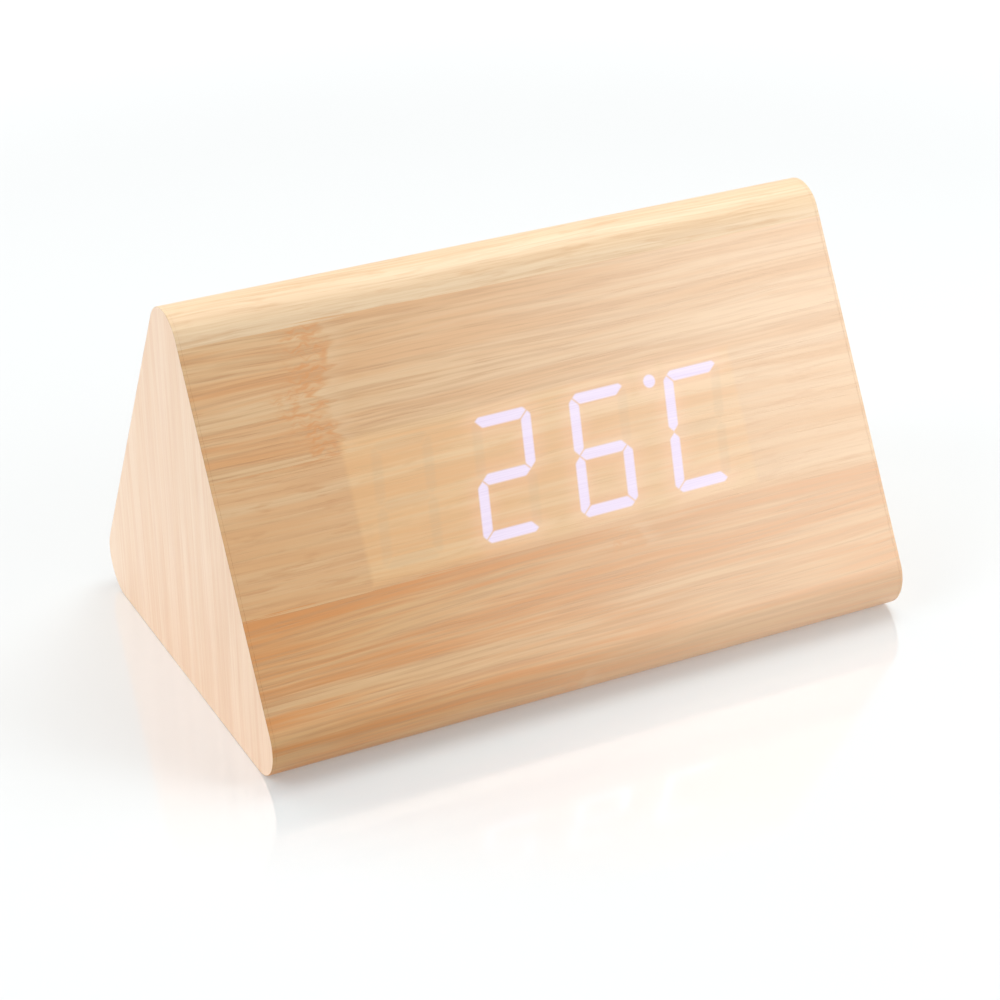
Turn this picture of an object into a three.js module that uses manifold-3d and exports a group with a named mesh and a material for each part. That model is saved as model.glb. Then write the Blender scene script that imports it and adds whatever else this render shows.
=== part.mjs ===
// A desk clock in a three-sided wooden case: a prism of veneered board that lies on one long face, with
// numerals that shine through the veneer of its sloping front face. It runs on three cells in the base.
//
// Millimetres, +Z up. X runs along the case, the front face looks towards -Y and up, and the origin lies
// on the table under the middle of the case.

import * as THREE from 'three';
import { mergeVertices } from 'three/addons/utils/BufferGeometryUtils.js';
import Module from 'manifold-3d';

const wasm = await Module();
wasm.setup();

// Case
const CASE_LENGTH = 118;
const BASE_DEPTH = 85; // between the sharp corners that the rounded edges replace
const APEX_HEIGHT = 74.5; // of the sharp corner that the rounded ridge replaces
const EDGE_RADIUS = 6.5;
const VENEER = 0.6;
const BOARD = 6;

// Clearances
const GLUE_LINE = 0.1; // between glued faces of the case
const SEAT = 0.2; // between a piece and what carries it
const FIT = 0.3; // round a piece set into an opening
const RUN = 0.2; // round a pin or plunger that moves
const SCREW_GAP = 0.15; // round a screw in its hole

// Display, whose digits lean
const DIGIT_COUNT = 4;
const DIGIT_PITCH = 18;
const DIGIT_WIDTH = 10.8;
const DIGIT_HEIGHT = 20.3;
const DIGIT_SLANT = 7.5; // degrees
const STROKE = 1.8;
const STROKE_CORNER = 1.3; // cut off the outer corner of a digit
const STROKE_GAP = 0.35; // between neighbouring strokes
const DOT_RADIUS = 1.05;
const DEGREE_DOT_SHIFT = 0.9; // from halfway between the last two digits
const COLON_RISE = 4; // of each dot from the middle of the digits
const WINDOW_MARGIN = 1.8; // above and below the digits
const DISPLAY_RISE = 42.3; // of the digits' middle, up the front face from its sharp lower corner
const FILM = 0.3;
const LED_BOARD = 0.8;
const LED_SIDE = 0.9;
const LED_HEIGHT = 0.5;

// Circuit boards and what stands on them
const CIRCUIT = 1.6;
const MAIN_BOARD_SIDE_MARGIN = 6; // past the display window
const MAIN_BOARD_MARGIN = 4; // above and below the display window
const MAIN_SCREW_INSET = 3; // from the edges of the main board
const CHIP = { length: 18, width: 7.5, height: 2.3, place: -4, drop: 9 };
const CRYSTAL = { length: 6, radius: 1, place: 17, drop: 9 };
const BUZZER = { radius: 6, height: 7, place: -27 };
const HEADER = { length: 14, width: 5, height: 5 };
const HEADER_RISE = 4; // of the ribbon header over the middle of the display
const BATTERY_HEADER = { length: 7.5, width: 5, height: 5, place: 28, rise: 2 };
const RIBBON = { width: 10, thickness: 0.8, reach: 8 };
const LEAD_RADIUS = 0.7;
const LEAD_SPACING = 2.5;
const LEAD_STRAIGHT = 2.8; // out of each end
const RED_LEAD_BEND = { out: 2, y: -3.5, rise: 7 }; // from its contact, and over the contact tabs
const BLACK_LEAD_BENDS = [
  { x: -18, y: 6, rise: 2 },
  { x: 0, y: 1, rise: 1.5 },
  { x: 18, y: 0.5, rise: 4 },
];

// Controls in the rear face
const BUTTON_NAMES = ['set', 'up', 'down'];
const BUTTON_PITCH = 12;
const BUTTON_RADIUS = 3;
const BUTTON_PROUD = 1;
const BUTTON_ROUND = 0.6; // of its outer edge
const BUTTON_TRAVEL = 0.6;
const BUTTON_FLANGE = { radius: 4, thickness: 1 };
const CONTROL_RISE = 40; // of the row of buttons, up the rear face from its sharp lower corner
const CONTROL_BOARD_WIDTH = 14;
const CONTROL_BOARD_EDGE = 2; // past the inlet and the sensor
const SWITCH = { side: 6, height: 3.5 };
const PLUNGER = { radius: 1.7, height: 1.5, depth: 1.2 };
const SPACER_RADIUS = 2.6;
const PLACING_GAP = 2; // between neighbours along the control board
const INLET = { side: 8.5, height: 4.5, noseRadius: 3.2, boreRadius: 1.85, boreDepth: 9, recess: 0.4 };
const INLET_PIN = { radius: 0.65, seat: 1.2, recess: 1.2 };
const SENSOR = { radius: 1.5, leadRadius: 0.3, leadSpacing: 1.4 };
const VENT = { radius: 0.9, pitch: 3, count: 3 };

// Screws
const SCREW_RADIUS = 1;
const SCREW_HEAD = { radius: 1.9, height: 1.2, slot: 0.5, slotDepth: 0.6, slotLength: 2.4 };
const SCREW_BITE = 3.5; // into wood

// Battery bay
const CELL = { radius: 5.25, length: 44.5, nubRadius: 1.9, nubLength: 0.8, round: 0.4 };
const CELL_COUNT = 3;
const CELL_PITCH = 11.8;
const CELL_CLEARANCE = 0.4;
const TOUCH = 0.3; // between a cell and its contacts
const CONTACT = { thickness: 0.4, width: 8, height: 7 };
const CONTACT_TAB = { width: 3, reach: 3 };
const SPRING = { length: 4, wireRadius: 0.3, baseRadius: 3, tipRadius: 2, turns: 3 };
const TRAY_WALL = 1.5;
const TRAY_FRAME = 2.2; // height of the frame over the door
const RIB = { thickness: 0.7, height: 4, inset: 2 }; // between two cells
const FLANGE = { thickness: 2.2, endWidth: 5.5, sideWidth: 2 };
const BASE_RECESS = 0.4; // of the tray and the door over the table
const LEDGE = 1.6; // width of the ledge that the door closes against
const DOOR = { thickness: 1.6, gap: 0.3 };
const DOOR_BARREL_RADIUS = 1.3;
const DOOR_PIN_RADIUS = 0.6;
const DOOR_NOTCH = { width: 12, length: 3.5, depth: 1.5 }; // for a fingernail
const DOOR_NIB = { width: 4, height: 0.8 }; // each snaps the free end of the door shut

// Facets
const ARC_STEPS = 8; // in each half of a rounded edge of the case
const ROUND_SIDES = 20;
const SMALL_SIDES = 12;
const WIRE_SIDES = 8;
const LEAD_STEP = 3;
const RIBBON_STEPS = 12;
const SPRING_SIDES = 5;
const SPRING_STEPS = 8; // in each turn
const BUTTON_ROUND_STEPS = 3;
const WELD = 1e-4; // corners nearer than this are one

const FINISHES = {
  veneer: { color: 0xe6bf8c, roughness: 0.55, metalness: 0 },
  endVeneer: { color: 0xf0d2ac, roughness: 0.6, metalness: 0 },
  fibreboard: { color: 0xa9835a, roughness: 0.9, metalness: 0 },
  whitePlastic: { color: 0xf2f2ef, roughness: 0.5, metalness: 0 },
  milkyFilm: { color: 0xf6f4fb, roughness: 0.35, metalness: 0 },
  greenCircuit: { color: 0x2c6b45, roughness: 0.45, metalness: 0 },
  blackPlastic: { color: 0x1c1c1e, roughness: 0.55, metalness: 0 },
  tin: { color: 0xc4c6c8, roughness: 0.35, metalness: 1 },
  nickel: { color: 0xb9b3a6, roughness: 0.3, metalness: 1 },
  cellSleeve: { color: 0x3f5f8c, roughness: 0.35, metalness: 0.4 },
  beige: { color: 0xd9c29a, roughness: 0.6, metalness: 0 },
  greyRibbon: { color: 0x9a9da1, roughness: 0.6, metalness: 0 },
  redWire: { color: 0xb3261e, roughness: 0.5, metalness: 0 },
  blackWire: { color: 0x19191b, roughness: 0.5, metalness: 0 },
};

const clock = new THREE.Group();

function addPiece(parent, name, geometry, finish) {
  const mesh = new THREE.Mesh(geometry, new THREE.MeshStandardMaterial(FINISHES[finish]));
  mesh.name = name;
  parent.add(mesh);
}

// Joining and cutting closed meshes

function toSolid(geometry) {
  const bare = geometry.clone();
  bare.deleteAttribute('normal');
  bare.deleteAttribute('uv');
  const merged = mergeVertices(bare, WELD);
  const vertProperties = Float32Array.from(merged.attributes.position.array);
  const triVerts = Uint32Array.from(merged.index.array);
  return new wasm.Manifold(new wasm.Mesh({ numProp: 3, vertProperties, triVerts }));
}

function toGeometry(solid) {
  const mesh = solid.getMesh();
  const geometry = new THREE.BufferGeometry();
  geometry.setAttribute('position', new THREE.BufferAttribute(mesh.vertProperties, 3));
  geometry.setIndex(new THREE.BufferAttribute(mesh.triVerts, 1));
  return geometry;
}

function cut(geometry, tools) {
  const solid = tools.reduce((rest, tool) => rest.subtract(toSolid(tool)), toSolid(geometry));
  return toGeometry(solid);
}

function join(geometries) {
  const [first, ...others] = geometries.map(toSolid);
  return toGeometry(others.reduce((whole, other) => whole.add(other), first));
}

// Plain shapes, each standing on its own Z axis or given by its lowest and highest corners

function block(low, high) {
  const size = high.map((value, axis) => value - low[axis]);
  const middle = high.map((value, axis) => (value + low[axis]) / 2);
  return new THREE.BoxGeometry(...size).translate(...middle);
}

function rod(radius, bottom, top, sides) {
  const length = top - bottom;
  const cylinder = new THREE.CylinderGeometry(radius, radius, length, sides);
  return cylinder.rotateX(Math.PI / 2).translate(0, 0, bottom + length / 2);
}

function tube(outerRadius, innerRadius, bottom, top, sides) {
  const profile = [
    [innerRadius, bottom],
    [outerRadius, bottom],
    [outerRadius, top],
    [innerRadius, top],
    [innerRadius, bottom],
  ];
  return turned(profile, sides);
}

function turned(profile, sides) {
  const points = profile.map(([radius, height]) => new THREE.Vector2(radius, height));
  return new THREE.LatheGeometry(points, sides).rotateX(Math.PI / 2);
}

function plate(outline, bottom, top, steps = 1) {
  const options = { depth: top - bottom, bevelEnabled: false, curveSegments: steps };
  return new THREE.ExtrudeGeometry(outline, options).translate(0, 0, bottom);
}

function rectangle(length, width) {
  const outline = new THREE.Shape();
  outline.moveTo(-length / 2, -width / 2);
  outline.lineTo(length / 2, -width / 2);
  outline.lineTo(length / 2, width / 2);
  outline.lineTo(-length / 2, width / 2);
  return outline;
}

function ring(x, y, radius, sides) {
  const corners = Array.from({ length: sides }, (_, index) => {
    const angle = (2 * Math.PI * index) / sides;
    return new THREE.Vector2(x + radius * Math.cos(angle), y + radius * Math.sin(angle));
  });
  return new THREE.Path(corners);
}

function wire(path, radius, steps, sides) {
  const section = new THREE.Shape(ring(0, 0, radius, sides).getPoints());
  return new THREE.ExtrudeGeometry(section, { steps, bevelEnabled: false, extrudePath: path });
}

// A screw with a slotted head below its origin and its shank pointing up
function screw(length) {
  const point = SCREW_RADIUS;
  const profile = [
    [0, -SCREW_HEAD.height],
    [SCREW_HEAD.radius, -SCREW_HEAD.height],
    [SCREW_HEAD.radius, 0],
    [SCREW_RADIUS, 0],
    [SCREW_RADIUS, length - point],
    [0, length],
  ];
  const slotHalf = SCREW_HEAD.slot / 2;
  const slotReach = SCREW_HEAD.slotLength / 2;
  const slotTop = SCREW_HEAD.slotDepth - SCREW_HEAD.height;
  const slotBottom = -SCREW_HEAD.height - FIT;
  return cut(turned(profile, SMALL_SIDES), [
    block([-slotReach, -slotHalf, slotBottom], [slotReach, slotHalf, slotTop]),
    block([-slotHalf, -slotReach, slotBottom], [slotHalf, slotReach, slotTop]),
  ]);
}

// The triangle across the case, in Y and Z

const sharpCorners = {
  front: new THREE.Vector2(-BASE_DEPTH / 2, 0),
  rear: new THREE.Vector2(BASE_DEPTH / 2, 0),
  apex: new THREE.Vector2(0, APEX_HEIGHT),
};
const slope = Math.atan2(APEX_HEIGHT, BASE_DEPTH / 2);
const slopeLength = Math.hypot(APEX_HEIGHT, BASE_DEPTH / 2);
const inradius = (BASE_DEPTH * APEX_HEIGHT) / (BASE_DEPTH + 2 * slopeLength);
const incentre = new THREE.Vector2(0, inradius);
const halfAngles = { front: slope / 2, rear: slope / 2, apex: Math.PI / 2 - slope };
const outward = {
  base: -Math.PI / 2,
  rear: Math.PI / 2 - slope,
  front: Math.PI / 2 + slope,
};

function insetCorners(distance) {
  const share = (inradius - distance) / inradius;
  const drawnIn = (corner) => corner.clone().sub(incentre).multiplyScalar(share).add(incentre);
  return {
    front: drawnIn(sharpCorners.front),
    rear: drawnIn(sharpCorners.rear),
    apex: drawnIn(sharpCorners.apex),
  };
}

const arcCentres = insetCorners(EDGE_RADIUS);
const boardOuter = VENEER + GLUE_LINE;
const boardInner = boardOuter + BOARD;
const wrapHalf = CASE_LENGTH / 2 - boardOuter;

function roundCorner(section, corner, radius, from, to, clockwise = false) {
  const centre = arcCentres[corner];
  section.absarc(centre.x, centre.y, radius, from, to, clockwise);
}

function roundedSection() {
  const section = new THREE.Shape();
  roundCorner(section, 'rear', EDGE_RADIUS, outward.base, outward.rear);
  roundCorner(section, 'apex', EDGE_RADIUS, outward.rear, outward.front);
  roundCorner(section, 'front', EDGE_RADIUS, outward.front, outward.base);
  return section;
}

// The bent sheet runs from the base up the back, over the ridge and down the front to the base again
function wrapSection() {
  const section = roundedSection();
  const innerRadius = EDGE_RADIUS - VENEER;
  roundCorner(section, 'front', innerRadius, outward.base, outward.front, true);
  roundCorner(section, 'apex', innerRadius, outward.front, outward.rear, true);
  roundCorner(section, 'rear', innerRadius, outward.rear, outward.base, true);
  return section;
}

// A board of the case between two corners, mitred at both
function boardSection(from, to, facing) {
  const radius = EDGE_RADIUS - boardOuter;
  const trim = Math.asin(GLUE_LINE / 2 / radius);
  const mitre = (corner) => sharpCorners[corner].clone().sub(incentre).angle();
  const inner = insetCorners(boardInner);
  const along = inner[to].clone().sub(inner[from]).normalize();
  const innerEnd = inner[to].clone().addScaledVector(along, -GLUE_LINE / 2 / Math.sin(halfAngles[to]));
  const innerStart = inner[from].clone().addScaledVector(along, GLUE_LINE / 2 / Math.sin(halfAngles[from]));
  const section = new THREE.Shape();
  roundCorner(section, from, radius, mitre(from) + trim, facing);
  roundCorner(section, to, radius, facing, mitre(to) - trim);
  section.lineTo(innerEnd.x, innerEnd.y);
  section.lineTo(innerStart.x, innerStart.y);
  return section;
}

const acrossToCase = new THREE.Matrix4().makeBasis(
  new THREE.Vector3(0, 1, 0),
  new THREE.Vector3(0, 0, 1),
  new THREE.Vector3(1, 0, 0),
);

function alongCase(section, low, high) {
  return plate(section, low, high, ARC_STEPS).applyMatrix4(acrossToCase);
}

// Each sloping face has a frame of its own: X along it, Y up it from the sharp lower corner, Z out of it.
// Seen from outside, X points to the right.

const frontFace = new THREE.Group();
frontFace.position.set(0, -BASE_DEPTH / 2, 0);
frontFace.rotation.set(slope, 0, 0);
frontFace.updateMatrix();

const rearFace = new THREE.Group();
rearFace.position.set(0, BASE_DEPTH / 2, 0);
rearFace.rotation.set(slope, 0, Math.PI, 'ZXY');
rearFace.updateMatrix();

clock.add(frontFace, rearFace);

function placedOn(face, geometry) {
  return geometry.clone().applyMatrix4(face.matrix);
}

// Battery bay, tray and door: levels over the table, then sizes in plan

const doorTop = BASE_RECESS + DOOR.thickness;
const ledgeBottom = doorTop + DOOR.gap;
const frameTop = ledgeBottom + TRAY_FRAME;
const flangeTop = BASE_RECESS + FLANGE.thickness;
const cellHeight = doorTop + CELL_CLEARANCE + CELL.radius;
const bayTop = cellHeight + CELL.radius + CELL_CLEARANCE;
const trayTop = bayTop + TRAY_WALL;
const bayLength = CELL.length + SPRING.length + 2 * (SEAT + CONTACT.thickness + TOUCH);
const bayWidth = (CELL_COUNT - 1) * CELL_PITCH + 2 * (CELL.radius + CELL_CLEARANCE);
const doorLength = bayLength + 2 * LEDGE;
const doorWidth = bayWidth + 2 * LEDGE;
const recessLength = doorLength + 2 * DOOR.gap;
const recessWidth = doorWidth + 2 * DOOR.gap;
const frameLength = recessLength + 2 * TRAY_WALL;
const frameWidth = recessWidth + 2 * TRAY_WALL;
const flangeLength = frameLength + 2 * FLANGE.endWidth;
const flangeWidth = frameWidth + 2 * FLANGE.sideWidth;
const trayScrewPlaces = [-1, 1].flatMap((end) =>
  [-1, 1].map((side) => [(end * (frameLength + FLANGE.endWidth)) / 2, (side * bayWidth) / 2]),
);
const counterboreTop = BASE_RECESS + SCREW_HEAD.height + SEAT;
const trayScrewSeat = counterboreTop - SEAT;
const rebateTop = flangeTop + SEAT;
const hinge = {
  x: -doorLength / 2 + DOOR_BARREL_RADIUS,
  z: BASE_RECESS + DOOR_BARREL_RADIUS,
};

function centredBlock(length, width, bottom, top) {
  return block([-length / 2, -width / 2, bottom], [length / 2, width / 2, top]);
}

function acrossHinge(radius, halfLength) {
  const pivot = rod(radius, -halfLength, halfLength, ROUND_SIDES).rotateX(Math.PI / 2);
  return pivot.translate(hinge.x, 0, hinge.z);
}

// Display: levels in the front face's frame, then its strokes

const windowLength = DIGIT_COUNT * DIGIT_PITCH;
const windowHeight = DIGIT_HEIGHT + 2 * WINDOW_MARGIN;
const filmFront = -(VENEER + SEAT);
const reflectorFront = filmFront - FILM - SEAT;
const ledBack = -boardInner;
const ledFront = ledBack + LED_BOARD;
const mainFront = -boardInner - SEAT;
const mainBack = mainFront - CIRCUIT;
const partsSeat = mainBack - SEAT;
const mainLength = windowLength + 2 * MAIN_BOARD_SIDE_MARGIN;
const mainHeight = windowHeight + 2 * MAIN_BOARD_MARGIN;
const mainScrewPlaces = [-1, 1].flatMap((end) =>
  [-1, 1].map((side) => [
    end * (mainLength / 2 - MAIN_SCREW_INSET),
    DISPLAY_RISE + side * (mainHeight / 2 - MAIN_SCREW_INSET),
  ]),
);
const digitPlaces = Array.from(
  { length: DIGIT_COUNT },
  (_, index) => (index - (DIGIT_COUNT - 1) / 2) * DIGIT_PITCH,
);

function slanted([x, y]) {
  return [x + y * Math.tan(THREE.MathUtils.degToRad(DIGIT_SLANT)), y];
}

// The seven strokes of a digit about its middle, as outlines with mitred ends
function digitStrokes() {
  const x = DIGIT_WIDTH / 2;
  const y = DIGIT_HEIGHT / 2;
  const mitre = STROKE_GAP / Math.SQRT2;
  const nearCorner = (STROKE_CORNER - mitre) / 2;
  const farCorner = (STROKE_CORNER + mitre) / 2;
  const top = [
    [-x + farCorner, y - nearCorner],
    [-x + STROKE_CORNER, y],
    [x - STROKE_CORNER, y],
    [x - farCorner, y - nearCorner],
    [x - STROKE - mitre, y - STROKE],
    [-x + STROKE + mitre, y - STROKE],
  ];
  const upperLeft = [
    [-x + nearCorner, y - farCorner],
    [-x + STROKE, y - STROKE - mitre],
    [-x + STROKE, STROKE / 2 + mitre],
    [-x + STROKE / 2, mitre],
    [-x, STROKE / 2 + mitre],
    [-x, y - STROKE_CORNER],
  ];
  const middle = [
    [-x + STROKE / 2 + mitre, 0],
    [-x + STROKE + mitre, STROKE / 2],
    [x - STROKE - mitre, STROKE / 2],
    [x - STROKE / 2 - mitre, 0],
    [x - STROKE - mitre, -STROKE / 2],
    [-x + STROKE + mitre, -STROKE / 2],
  ];
  const flipped = (outline, sideways, upright) => outline.map(([a, b]) => [a * sideways, b * upright]);
  return [
    top,
    middle,
    flipped(top, 1, -1),
    upperLeft,
    flipped(upperLeft, -1, 1),
    flipped(upperLeft, 1, -1),
    flipped(upperLeft, -1, -1),
  ];
}

const strokeOutlines = digitPlaces.flatMap((place) =>
  digitStrokes().map((outline) => outline.map(slanted).map(([x, y]) => [x + place, y])),
);
const lastGap = digitPlaces[DIGIT_COUNT - 1] - DIGIT_PITCH / 2;
const dotPlaces = [
  slanted([lastGap + DEGREE_DOT_SHIFT, (DIGIT_HEIGHT - STROKE) / 2]),
  slanted([0, COLON_RISE]),
  slanted([0, -COLON_RISE]),
];

// Controls: levels in the rear face's frame, then places along it, each beside the last

const flangeFront = -boardInner - FIT;
const flangeBack = flangeFront - BUTTON_FLANGE.thickness;
const plungerFront = flangeBack - SEAT;
const switchFront = plungerFront - PLUNGER.height;
const controlFront = switchFront - SWITCH.height - SEAT;
const controlBack = controlFront - CIRCUIT;
const buttonPlaces = BUTTON_NAMES.map((_, index) => (index - (BUTTON_NAMES.length - 1) / 2) * BUTTON_PITCH);
const lastButton = buttonPlaces[buttonPlaces.length - 1];
const spacerPlace = lastButton + SWITCH.side / 2 + PLACING_GAP + SPACER_RADIUS;
const inletPlace = spacerPlace + SPACER_RADIUS + PLACING_GAP + INLET.side / 2;
const ventReach = ((VENT.count - 1) / 2) * VENT.pitch + VENT.radius;
const sensorPlace = -(spacerPlace + SPACER_RADIUS + PLACING_GAP + ventReach);
const controlHalf = inletPlace + INLET.side / 2 + CONTROL_BOARD_EDGE;
const ventPlaces = Array.from(
  { length: VENT.count },
  (_, index) => sensorPlace + (index - (VENT.count - 1) / 2) * VENT.pitch,
);

function onRow(geometry, place) {
  return geometry.translate(place, CONTROL_RISE, 0);
}

// Holes from outside the rear face to past the inside of its board
function rearHoles() {
  const through = (radius, sides) => rod(radius, -boardInner - FIT, FIT, sides);
  return [
    ...buttonPlaces.map((place) => onRow(through(BUTTON_RADIUS + FIT, ROUND_SIDES), place)),
    onRow(through(INLET.noseRadius + FIT, ROUND_SIDES), inletPlace),
    ...ventPlaces.map((place) => onRow(through(VENT.radius, SMALL_SIDES), place)),
  ].map((hole) => placedOn(rearFace, hole));
}

// A blind hole for a screw, from the inside of a sloping board
function pilotHole() {
  return rod(SCREW_RADIUS + SCREW_GAP, -boardInner - FIT, -boardInner + SCREW_BITE + FIT, SMALL_SIDES);
}

function buildCase() {
  const window = block(
    [-windowLength / 2, DISPLAY_RISE - windowHeight / 2, -boardInner - FIT],
    [windowLength / 2, DISPLAY_RISE + windowHeight / 2, 0],
  );
  const mainPilots = mainScrewPlaces.map(([x, y]) => pilotHole().translate(x, y, 0));
  const frontCuts = [window, ...mainPilots].map((tool) => placedOn(frontFace, tool));
  const frontBoard = alongCase(boardSection('apex', 'front', outward.front), -wrapHalf, wrapHalf);
  addPiece(clock, 'front_board', cut(frontBoard, frontCuts), 'fibreboard');

  const controlPilots = [-spacerPlace, spacerPlace].map((place) => onRow(pilotHole(), place));
  const rearCuts = [...rearHoles(), ...controlPilots.map((tool) => placedOn(rearFace, tool))];
  const rearBoard = alongCase(boardSection('rear', 'apex', outward.rear), -wrapHalf, wrapHalf);
  addPiece(clock, 'rear_board', cut(rearBoard, rearCuts), 'fibreboard');

  const trayPilots = trayScrewPlaces.map(([x, y]) =>
    rod(SCREW_RADIUS + SCREW_GAP, 0, rebateTop + SCREW_BITE + FIT, SMALL_SIDES).translate(x, y, 0),
  );
  const baseCuts = [
    centredBlock(frameLength + 2 * FIT, frameWidth + 2 * FIT, 0, boardInner + FIT),
    centredBlock(flangeLength + 2 * FIT, flangeWidth + 2 * FIT, 0, rebateTop),
    ...trayPilots,
  ];
  const baseBoard = alongCase(boardSection('front', 'rear', outward.base), -wrapHalf, wrapHalf);
  addPiece(clock, 'base_board', cut(baseBoard, baseCuts), 'fibreboard');

  addPiece(clock, 'wrap_veneer', cut(alongCase(wrapSection(), -wrapHalf, wrapHalf), rearHoles()), 'veneer');

  const baseSheet = rectangle(2 * wrapHalf, arcCentres.rear.x - arcCentres.front.x - 2 * GLUE_LINE);
  const trayOpening = rectangle(flangeLength + 2 * FIT, flangeWidth + 2 * FIT);
  baseSheet.holes.push(new THREE.Path(trayOpening.getPoints()));
  addPiece(clock, 'base_veneer', plate(baseSheet, 0, VENEER), 'veneer');

  const endSection = new THREE.Shape(Object.values(insetCorners(boardInner + GLUE_LINE)));
  for (const [name, side] of [['left', -1], ['right', 1]]) {
    const boardEnds = [side * wrapHalf, side * (wrapHalf - BOARD)].sort((a, b) => a - b);
    const veneerEnds = [(side * CASE_LENGTH) / 2, side * (CASE_LENGTH / 2 - VENEER)].sort((a, b) => a - b);
    addPiece(clock, `${name}_end_board`, alongCase(endSection, ...boardEnds), 'fibreboard');
    addPiece(clock, `${name}_end_veneer`, alongCase(roundedSection(), ...veneerEnds), 'endVeneer');
  }
}

function buildDisplay() {
  const panel = rectangle(windowLength - 2 * FIT, windowHeight - 2 * FIT);
  const atDisplay = (geometry) => geometry.translate(0, DISPLAY_RISE, 0);
  addPiece(frontFace, 'diffuser_film', atDisplay(plate(panel, filmFront - FILM, filmFront)), 'milkyFilm');

  const grid = panel.clone();
  for (const outline of strokeOutlines) {
    grid.holes.push(new THREE.Path(outline.map(([x, y]) => new THREE.Vector2(x, y))));
  }
  for (const [x, y] of dotPlaces) {
    grid.holes.push(ring(x, y, DOT_RADIUS, SMALL_SIDES));
  }
  const reflector = plate(grid, ledFront + SEAT, reflectorFront);
  addPiece(frontFace, 'segment_reflector', atDisplay(reflector), 'whitePlastic');

  const middles = strokeOutlines.map((outline) => [
    outline.reduce((sum, [x]) => sum + x, 0) / outline.length,
    outline.reduce((sum, [, y]) => sum + y, 0) / outline.length,
  ]);
  const leds = [...middles, ...dotPlaces].map(([x, y]) =>
    centredBlock(LED_SIDE, LED_SIDE, ledBack + LED_BOARD / 2, ledFront + LED_HEIGHT).translate(x, y, 0),
  );
  const ledBoard = join([plate(panel, ledBack, ledFront), ...leds]);
  addPiece(frontFace, 'led_board', atDisplay(ledBoard), 'whitePlastic');

  const mainOutline = rectangle(mainLength, mainHeight);
  for (const [x, y] of mainScrewPlaces) {
    mainOutline.holes.push(ring(x, y - DISPLAY_RISE, SCREW_RADIUS + SCREW_GAP, SMALL_SIDES));
  }
  addPiece(frontFace, 'main_board', atDisplay(plate(mainOutline, mainBack, mainFront)), 'greenCircuit');

  mainScrewPlaces.forEach(([x, y], index) => {
    const length = mainFront - mainBack + 2 * SEAT + SCREW_BITE;
    const fastener = screw(length).translate(x, y, mainBack - SEAT);
    addPiece(frontFace, `display_screw_${index + 1}`, fastener, 'tin');
  });
}

// A part of the given size standing on the back of the main board
function onMainBoard(length, width, height, place, rise) {
  const part = centredBlock(length, width, partsSeat - height, partsSeat);
  return part.translate(place, DISPLAY_RISE + rise, 0);
}

function buildElectronics() {
  const chip = onMainBoard(CHIP.length, CHIP.width, CHIP.height, CHIP.place, -CHIP.drop);
  addPiece(frontFace, 'controller_chip', chip, 'blackPlastic');

  const crystal = rod(CRYSTAL.radius, -CRYSTAL.length / 2, CRYSTAL.length / 2, SMALL_SIDES)
    .rotateX(Math.PI / 2)
    .translate(CRYSTAL.place, DISPLAY_RISE - CRYSTAL.drop, partsSeat - CRYSTAL.radius);
  addPiece(frontFace, 'crystal_can', crystal, 'tin');

  const buzzer = rod(BUZZER.radius, partsSeat - BUZZER.height, partsSeat, ROUND_SIDES);
  addPiece(frontFace, 'alarm_buzzer', buzzer.translate(BUZZER.place, DISPLAY_RISE, 0), 'blackPlastic');

  const header = onMainBoard(HEADER.length, HEADER.width, HEADER.height, 0, HEADER_RISE);
  addPiece(frontFace, 'ribbon_header', header, 'whitePlastic');

  const { length, width, height, place, rise } = BATTERY_HEADER;
  addPiece(frontFace, 'battery_header', onMainBoard(length, width, height, place, rise), 'whitePlastic');
}

function buttonCap() {
  const rounded = Array.from({ length: BUTTON_ROUND_STEPS + 1 }, (_, index) => {
    const angle = (index / BUTTON_ROUND_STEPS) * (Math.PI / 2);
    return [
      BUTTON_RADIUS - BUTTON_ROUND * (1 - Math.cos(angle)),
      BUTTON_PROUD - BUTTON_ROUND * (1 - Math.sin(angle)),
    ];
  });
  const profile = [
    [0, flangeBack],
    [BUTTON_FLANGE.radius, flangeBack],
    [BUTTON_FLANGE.radius, flangeFront],
    [BUTTON_RADIUS, flangeFront],
    ...rounded,
    [0, BUTTON_PROUD],
  ];
  return turned(profile, ROUND_SIDES);
}

function buildButton(name, place) {
  addPiece(rearFace, `${name}_button`, onRow(buttonCap(), place), 'blackPlastic');

  const plungerBack = switchFront - PLUNGER.depth;
  const plunger = rod(PLUNGER.radius, plungerBack, plungerFront, SMALL_SIDES);
  addPiece(rearFace, `${name}_plunger`, onRow(plunger, place), 'whitePlastic');

  const boreBack = plungerBack - BUTTON_TRAVEL - RUN;
  const bore = rod(PLUNGER.radius + RUN, boreBack, switchFront + FIT, SMALL_SIDES);
  const body = centredBlock(SWITCH.side, SWITCH.side, switchFront - SWITCH.height, switchFront);
  addPiece(rearFace, `${name}_switch`, onRow(cut(body, [bore]), place), 'tin');
}

function buildInlet() {
  const base = controlFront + SEAT;
  const shoulder = base + INLET.height;
  const mouth = -INLET.recess;
  const floor = mouth - INLET.boreDepth;
  const body = join([
    centredBlock(INLET.side, INLET.side, base, shoulder),
    rod(INLET.noseRadius, base + INLET.height / 2, mouth, ROUND_SIDES),
  ]);
  const bores = [
    rod(INLET.boreRadius, floor, mouth + FIT, ROUND_SIDES),
    rod(INLET_PIN.radius + RUN, floor - INLET_PIN.seat - SEAT, floor + FIT, SMALL_SIDES),
  ];
  addPiece(rearFace, 'power_inlet', onRow(cut(body, bores), inletPlace), 'blackPlastic');

  const pin = rod(INLET_PIN.radius, floor - INLET_PIN.seat, mouth - INLET_PIN.recess, SMALL_SIDES);
  addPiece(rearFace, 'inlet_pin', onRow(pin, inletPlace), 'nickel');
}

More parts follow.
